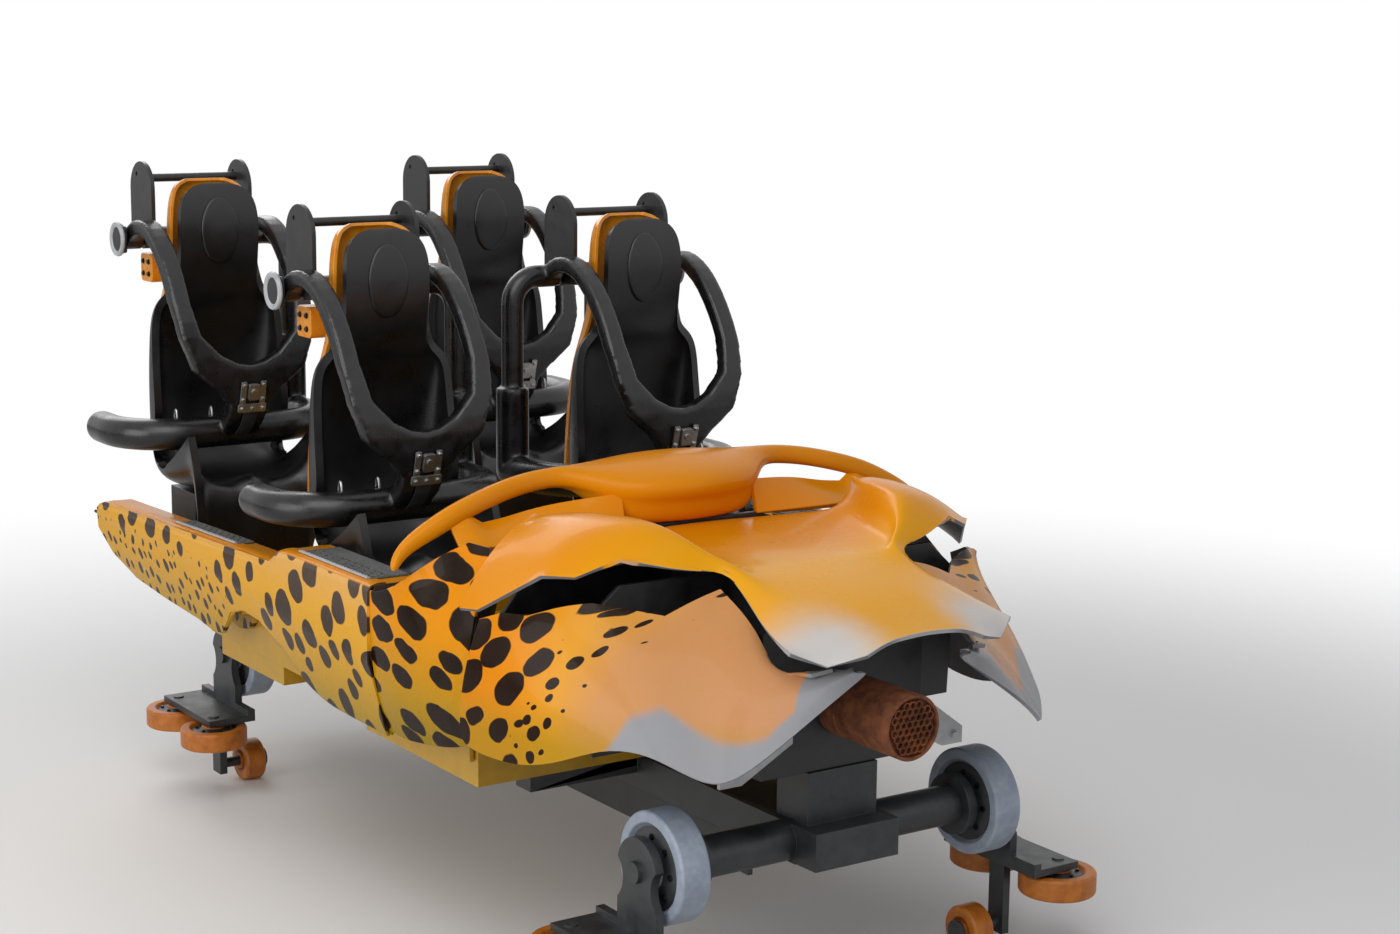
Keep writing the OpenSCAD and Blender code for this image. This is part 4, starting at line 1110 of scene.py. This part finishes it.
# %% Hoops and belts
belt_path = [(206, 0, -640), (196, 0, -668), (168, 0, -700), (142, 0, -720)]
for name in seat_at:
    body = f"restraint_{name}_body"
    metal = bmesh.new()
    add_latch(metal, name)
    for y in (-168, -60):
        loop = [at_seat(name, 60 + 9 * math.cos(t), y, -673 + 26 * math.sin(t))
                for t in (math.pi * k / 12 for k in range(13))]
        add_bar(metal, loop, circle(3.2 * mm, 10), (0, 1, 0))
    finish_piece(metal, f"restraint_{name}_latch", body, "steel", "black_steel", 0.8 * mm)
    webbing = bmesh.new()
    add_bar(webbing, smooth_path([at_seat(name, *point) for point in belt_path]),
            rounded_box(44 * mm, 3.4 * mm, 1.5 * mm, 2))
    finish_piece(webbing, f"restraint_{name}_belt", body, "webbing", "black_rubber", 0, True)
print("latches and belts", len(seat_at))

# %% [markdown]
# The outer end of each pivot shaft shows as a pale ring with a dark cap. Both are turned parts, made from a profile.

# %% Pivot rings
ring_profile = [(36 * mm, -2 * mm), (50 * mm, -2 * mm), (51 * mm, 2 * mm), (49 * mm, 7 * mm), (38 * mm, 7 * mm),
                (35 * mm, 3 * mm)]
for name in seat_at:
    metal, cap = bmesh.new(), bmesh.new()
    place = frame_at(at_seat(name, -185, -232, -170), (0, -turn_of[name], 0))
    add_ring(metal, ring_profile, place, 56)
    add_turned(cap, [(0, -1 * mm), (35 * mm, -1 * mm), (33 * mm, 3 * mm), (0, 4 * mm)], place, 40)
    finish_piece(metal, f"pivot_ring_{name}", "car", "pale", "black_steel")
    finish_piece(cap, f"pivot_cap_{name}", "car", "frame", "black_steel")
print("pivot rings", len(seat_at))

# %% [markdown]
# A raised oval pad is moulded into each headrest. It is a thin domed disc that follows the face of the seat: each
# point of a flat oval is cast back onto the seat's own surface, and lifted by a rounded profile.

# %% Headrest ovals
oval_rings = [(1.0, -1.5), (0.985, 3.0), (0.95, 5.0), (0.9, 5.6), (0.7, 6.4), (0.4, 7.0), (0.05, 7.2)]  # share, lift
oval_half_y, oval_half_z, oval_z, oval_steps = 58, 98, -138, 48
for name in seat_at:
    seat_piece = bpy.data.objects[f"seat_{name}_moulding"]
    bpy.context.view_layer.update()
    shell = seat_piece.evaluated_get(bpy.context.evaluated_depsgraph_get())
    pad = bmesh.new()
    rings = []
    for share, lift in oval_rings:
        ring = []
        for k in range(oval_steps):
            t = 2 * math.pi * k / oval_steps
            start = at_seat(name, 200, oval_half_y * share * math.cos(t), oval_z + oval_half_z * share * math.sin(t))
            hit, spot, normal, _ = shell.ray_cast(start, Vector((-1, 0, 0)))
            ring.append(spot + normal * lift * mm if hit else start)
        rings.append(ring)
    add_rings(pad, rings)
    finish_piece(pad, f"headrest_{name}_oval", "car", "seat", "black_moulding", 0, True)
print("ovals", len(seat_at))

# %% [markdown]
# ## Repeated parts, grown by Geometry Nodes
# The buffer's honeycomb, the studs of the tread plates and the bolts of the wheel discs all repeat by a rule. A small
# tree makes each of them: it places points, puts a shape on every point, turns the instances into real mesh and gives
# it its material. Copies made in a loop would look the same, but a tree's sizes can be changed in one place.

# %% Starting and ending a tree
def geometry_tree(name, sizes):
    """A tree with a named input for each size, and its own way to add a node."""
    tree = bpy.data.node_groups.new(name, "GeometryNodeTree")
    for label, value in sizes.items():
        kind = "NodeSocketInt" if isinstance(value, int) else "NodeSocketFloat"
        tree.interface.new_socket(label, in_out="INPUT", socket_type=kind)
    tree.interface.new_socket("Mesh", in_out="OUTPUT", socket_type="NodeSocketGeometry")
    add = partial(add_node, tree)
    return tree, add, add("NodeGroupInput").node.outputs


def end_tree(add, instances, material):
    real = add("GeometryNodeRealizeInstances", None, {"Geometry": instances})
    painted = add("GeometryNodeSetMaterial", None, {"Geometry": real, "Material": finish[material]})
    add("NodeGroupOutput", None, {"Mesh": painted})


print("trees so far", len(bpy.data.node_groups))

# %% [markdown]
# To grow a tree, an empty object carries it as a modifier for a moment. Each input is set by its socket's identifier,
# the evaluated result is copied into a plain mesh, and the object is removed.

# %% Growing a tree
def grown(tree, sizes, place):
    """The tree's plain mesh for these sizes, moved to its place."""
    holder = bpy.data.objects.new("holder", bpy.data.meshes.new("holder"))
    scene.collection.objects.link(holder)
    growth = holder.modifiers.new("growth", "NODES")
    growth.node_group = tree
    for socket in tree.interface.items_tree:
        if socket.in_out == "INPUT":
            growth[socket.identifier] = sizes[socket.name]
    mesh = bpy.data.meshes.new_from_object(holder.evaluated_get(bpy.context.evaluated_depsgraph_get()))
    bpy.data.objects.remove(holder)
    mesh.transform(place)
    form = bmesh.new()
    form.from_mesh(mesh)
    bmesh.ops.recalc_face_normals(form, faces=form.faces)
    form.to_mesh(mesh)
    form.free()
    return mesh


def place_grown(name, mesh, body, material, slot):
    piece = bpy.data.objects.new(name, mesh)
    scene.collection.objects.link(piece)
    mesh.set_sharp_from_angle(angle=math.radians(35))
    return place_piece(piece, body, material, slot)


# %% [markdown]
# The crash buffer is a honeycomb in a drum, and both have gone brown. In the drum's face sits a comb of hexagonal
# cells, about eight across, on staggered rows. The index of a point gives its row and column, points outside the rim
# are deleted, and each of the others gets a hexagon swept with the section of a cell's wall.

# %% Honeycomb
face_x, face_z = 1.520, 0.712
comb_sizes = {"Cell": 16.5 * mm, "Radius": 66 * mm, "Wall": 2.2 * mm, "Depth": 11 * mm, "Across": 11}
comb, add, sizes = geometry_tree("honeycomb_cells", comb_sizes)
index = add("GeometryNodeInputIndex")
across = sizes["Across"]
row = add("ShaderNodeMath", {"operation": "DIVIDE"}, {0: index, 1: across})
row = add("ShaderNodeMath", {"operation": "FLOOR"}, {0: row})
column = add("ShaderNodeMath", {"operation": "MODULO"}, {0: index, 1: across})
odd = add("ShaderNodeMath", {"operation": "MODULO"}, {0: row, 1: 2.0})
column = add("ShaderNodeMath", {"operation": "MULTIPLY_ADD"}, {0: odd, 1: 0.5, 2: column})
middle = add("ShaderNodeMath", {"operation": "MULTIPLY"}, {0: across, 1: 0.5})
grid = []
for count, pitch in ((column, 1.0), (row, math.sqrt(3) / 2)):
    offset = add("ShaderNodeMath", {"operation": "SUBTRACT"}, {0: count, 1: middle})
    offset = add("ShaderNodeMath", {"operation": "MULTIPLY"}, {0: offset, 1: pitch})
    grid.append(add("ShaderNodeMath", {"operation": "MULTIPLY"}, {0: offset, 1: sizes["Cell"]}))
spot = add("ShaderNodeCombineXYZ", None, {"X": grid[0], "Y": grid[1]})
count = add("ShaderNodeMath", {"operation": "MULTIPLY"}, {0: across, 1: across})
points = add("GeometryNodePoints", None, {"Count": count, "Position": spot})
reach = add("ShaderNodeVectorMath", {"operation": "LENGTH"}, {0: spot}, "Value")
limit = add("ShaderNodeMath", {"operation": "MULTIPLY_ADD"}, {0: sizes["Cell"], 1: -0.5, 2: sizes["Radius"]})
outside = add("ShaderNodeMath", {"operation": "GREATER_THAN"}, {0: reach, 1: limit})
kept = add("GeometryNodeDeleteGeometry", {"domain": "POINT"}, {"Geometry": points, "Selection": outside})
corner = add("ShaderNodeMath", {"operation": "DIVIDE"}, {0: sizes["Cell"], 1: math.sqrt(3)})
hexagon = add("GeometryNodeCurvePrimitiveCircle", None, {"Resolution": 6, "Radius": corner})
section = add("GeometryNodeCurvePrimitiveQuadrilateral", None, {"Width": sizes["Wall"], "Height": sizes["Depth"]})
ring = add("GeometryNodeCurveToMesh", None, {"Curve": hexagon, "Profile Curve": section})
end_tree(add, add("GeometryNodeInstanceOnPoints", None, {"Points": kept, "Instance": ring}), "rust")
look_ahead = frame_at((face_x - 7 * mm, 0, face_z), (1, 0, 0), (0, 1, 0))
mesh = grown(comb, comb_sizes, look_ahead)
place_grown("buffer_honeycomb", mesh, "car", "rust", "rusted_honeycomb")
print("honeycomb", len(mesh.polygons), "faces")

# %% [markdown]
# The drum is a turned part with a groove near its foot and a raised rim round the comb.

# %% Buffer drum
drum = 76 * mm
drum_profile = [
    (0, 0), (drum - 4 * mm, 0), (drum, 4 * mm), (drum, 60 * mm), (drum - 1.5 * mm, 62 * mm), (drum - 1.5 * mm, 66 * mm),
    (drum, 68 * mm), (drum, 247 * mm), (drum - 2 * mm, 250 * mm), (drum - 8 * mm, 250 * mm), (drum - 9 * mm, 238 * mm),
    (0, 238 * mm)]
form = bmesh.new()
add_turned(form, drum_profile, frame_at((1.270, 0, face_z), (1, 0, 0), (0, 1, 0)), 64)
finish_piece(form, "buffer_drum", "car", "rust", "rusted_honeycomb", nodes=["crash_buffer"])
print("drum", round(2 * drum / mm), "mm across")

# %% [markdown]
# The step plates on the sills have a raised diamond pattern under their grit. The studs stand on the points of a grid
# and turn by a right angle from one to the next.

# %% Tree of the studs
stud_sizes = {"Length": 380 * mm, "Width": 36 * mm, "Along": 21, "Across": 3, "Stud": 8.5 * mm, "Height": 2.4 * mm}
studs, add, sizes = geometry_tree("tread_studs", stud_sizes)
sheet = add("GeometryNodeMeshGrid", None, {"Size X": sizes["Length"], "Size Y": sizes["Width"],
                                           "Vertices X": sizes["Along"], "Vertices Y": sizes["Across"]})
stud = add("GeometryNodeMeshCylinder", None, {"Vertices": 8, "Radius": sizes["Stud"], "Depth": sizes["Height"]})
stud = add("GeometryNodeTransform", None, {"Geometry": stud, "Scale": (1, 0.3, 1)})
turn = add("ShaderNodeMath", {"operation": "MODULO"}, {0: add("GeometryNodeInputIndex"), 1: 2.0})
turn = add("ShaderNodeMath", {"operation": "MULTIPLY_ADD"}, {0: turn, 1: math.pi / 2, 2: math.pi / 4})
turn = add("ShaderNodeCombineXYZ", None, {"Z": turn})
studded = add("GeometryNodeInstanceOnPoints", None, {"Points": sheet, "Instance": stud, "Rotation": turn})
end_tree(add, studded, "grip")
print("studs", stud_sizes["Along"] * stud_sizes["Across"], "per plate")

# %% [markdown]
# Each plate follows the slope of the sill below it. A pale toothed strip finishes its outer edge, so that a shoe finds
# hold there.

# %% Studs and edge strips
plates = [("front", -50, 330, 664, 724), ("rear", -850, -450, 672, 724)]  # x from and to, y from and to
sill_line = [(-1340, 818), (-195, 852), (-150, 888), (-110, 896), (380, 900)]
plate_high, teeth = 6, 24
for label, x0, x1, y0, y1 in plates:
    for side, sign in sides.items():
        plate_sizes = dict(stud_sizes, Length=(x1 - x0 - 26) * mm, Width=(y1 - y0 - 24) * mm)
        z0, z1 = (level_at(x, sill_line) + plate_high for x in (x0, x1))
        middle = Vector(((x0 + x1) / 2, sign * (y0 + y1) / 2, (z0 + z1) / 2 + 0.6)) * mm
        lie = frame_at(middle, (z0 - z1, 0, x1 - x0))
        place_grown(f"tread_{label}_{side}_studs", grown(studs, plate_sizes, lie), "car", "grip", "grip_sheet")
        form = bmesh.new()
        add_bar(form, [Vector((x, sign * (y1 + 2), z + 1)) * mm for x, z in ((x0, z0), (x1, z1))],
                rounded_box(9 * mm, 5 * mm, 1.5 * mm, 2))
        for k in range(1, teeth):
            x = x0 + (x1 - x0) * k / teeth
            z = z0 + (z1 - z0) * k / teeth
            add_bar(form, [Vector((x, sign * (y1 + way), z + 3.6)) * mm for way in (-2, 6)],
                    rounded_box(4 * mm, 1.6 * mm, 0.7 * mm, 1))
        finish_piece(form, f"tread_{label}_{side}_edge", "car", "pale", "grip_sheet")
print("tread plates", len(plates) * 2)

# %% [markdown]
# A wheel is a steel disc with a tyre of cast polyurethane. The disc is dark on both faces, with a pressed hub ring and
# a circle of bolts, which is a ring of points with a hexagon on each.

# %% Tree of the bolt circle
bolt_sizes = {"Count": 8, "Circle": 74 * mm, "Bolt": 8 * mm, "Height": 6 * mm}
bolts, add, sizes = geometry_tree("bolt_circle", bolt_sizes)
ring = add("GeometryNodeMeshCircle", None, {"Vertices": sizes["Count"], "Radius": sizes["Circle"]})
head = add("GeometryNodeMeshCylinder", None, {"Vertices": 6, "Radius": sizes["Bolt"], "Depth": sizes["Height"]})
end_tree(add, add("GeometryNodeInstanceOnPoints", None, {"Points": ring, "Instance": head}), "bolt")
print("bolts in the largest circle", bolt_sizes["Count"])

# %% [markdown]
# Running wheels and guide wheels differ only in their sizes, so one loop over the joints dresses both, on both faces.

# %% Wheel discs
kinds = {"run_wheel": (260, 78, 48, 8, 74), "guide_wheel": (190, 56, 34, 6, 49)}  # across, wide, hub, bolts, circle
dressed = 0
for joint in frame["joints"]:
    kind = next((k for k in kinds if joint["name"].startswith(k)), None)
    if not kind:
        continue
    across, wide, hub, count, circle_radius = kinds[kind]
    wheel = joint["name"][:-len("_spin")]
    hub_edge, outer, face = (hub + 0.5) * mm, (across / 2 - 35) * mm, (wide / 2 - 12) * mm
    disc_profile = [(hub_edge, face + 0.3 * mm), (outer, face + 0.3 * mm), (outer, face + 3 * mm),
                    (outer - 6 * mm, face + 6 * mm), ((hub + 8) * mm, face + 6 * mm), (hub_edge, face + 11 * mm)]
    circle_sizes = dict(bolt_sizes, Count=count, Circle=circle_radius * mm, Bolt=across * 0.028 * mm)
    form = bmesh.new()
    joined = bmesh.new()
    for way in (-1, 1):
        place = frame_at(Vector(joint["pos_m"]), Vector(joint["axis"]) * way)
        add_ring(form, disc_profile, place)
        joined.from_mesh(grown(bolts, circle_sizes, place @ Matrix.Translation((0, 0, face + 8.5 * mm))))
    finish_piece(form, f"{wheel}_discs", f"{wheel}_body", "chassis", "dark_steel")
    both = bpy.data.meshes.new(f"{wheel}_bolts")
    joined.to_mesh(both)
    joined.free()
    place_grown(f"{wheel}_bolts", both, f"{wheel}_body", "bolt", "dark_steel")
    dressed += 1
print("wheels with discs", dressed)

# %% [markdown]
# Beside each headrest an orange block carries the pivot, with four bolts in its side, and a square collar sits behind
# the pale ring.

# %% Shoulder blocks and collars
for name in seat_at:
    outward = (0, -turn_of[name], 0)
    block, metal, collar = bmesh.new(), bmesh.new(), bmesh.new()
    add_plate(block, rounded_box(86 * mm, 84 * mm, 14 * mm), 84 * mm, frame_at(at_seat(name, -195, -60, -258), outward))
    for x in (-215, -175):
        for z in (-240, -276):
            hex_bolt(metal, at_seat(name, x, -144, z), outward, 12 * mm, 6 * mm)
    shaft_end = frame_at(at_seat(name, -185, -219, -170), outward)
    add_plate(collar, rounded_box(78 * mm, 78 * mm, 10 * mm), 9 * mm, shaft_end)
    finish_piece(block, f"shoulder_{name}_block", "car", "shell", "orange_shell", 4 * mm)
    finish_piece(metal, f"shoulder_{name}_bolts", "car", "bolt", "black_steel")
    finish_piece(collar, f"pivot_{name}_collar", "car", "frame", "black_steel", 2 * mm)
print("shoulder blocks", len(seat_at))

# %% [markdown]
# At the nose, a light brace runs outward and down from the buffer's bulkhead on each side, held by two bolts.

# %% Nose braces
brace_outline = [(0.150, 0.700), (0.220, 0.700), (0.350, 0.605), (0.350, 0.565), (0.290, 0.565), (0.150, 0.640)]
brace_x, brace_thick = 1.2705, 10 * mm
for side, sign in sides.items():
    brace = bmesh.new()
    outline = brace_outline if sign > 0 else [(-y, z) for y, z in brace_outline[::-1]]
    add_plate(brace, outline, brace_thick, Matrix.Translation((brace_x, 0, 0)) @ upright_across)
    for y, z in ((0.185, 0.670), (0.322, 0.588)):
        hex_bolt(brace, (brace_x + brace_thick, sign * y, z), (1, 0, 0), 16 * mm, 8 * mm)
    finish_piece(brace, f"nose_{side}_brace", "car", "pale", "black_steel", 1.5 * mm)
print("nose braces", len(sides))

# %% [markdown]
# ## Size
# The box round every part that renders, the floor left out, is printed.

# %% Finish
low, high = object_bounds()
print("visual box", [round(v, 3) for v in low], [round(v, 3) for v in high])
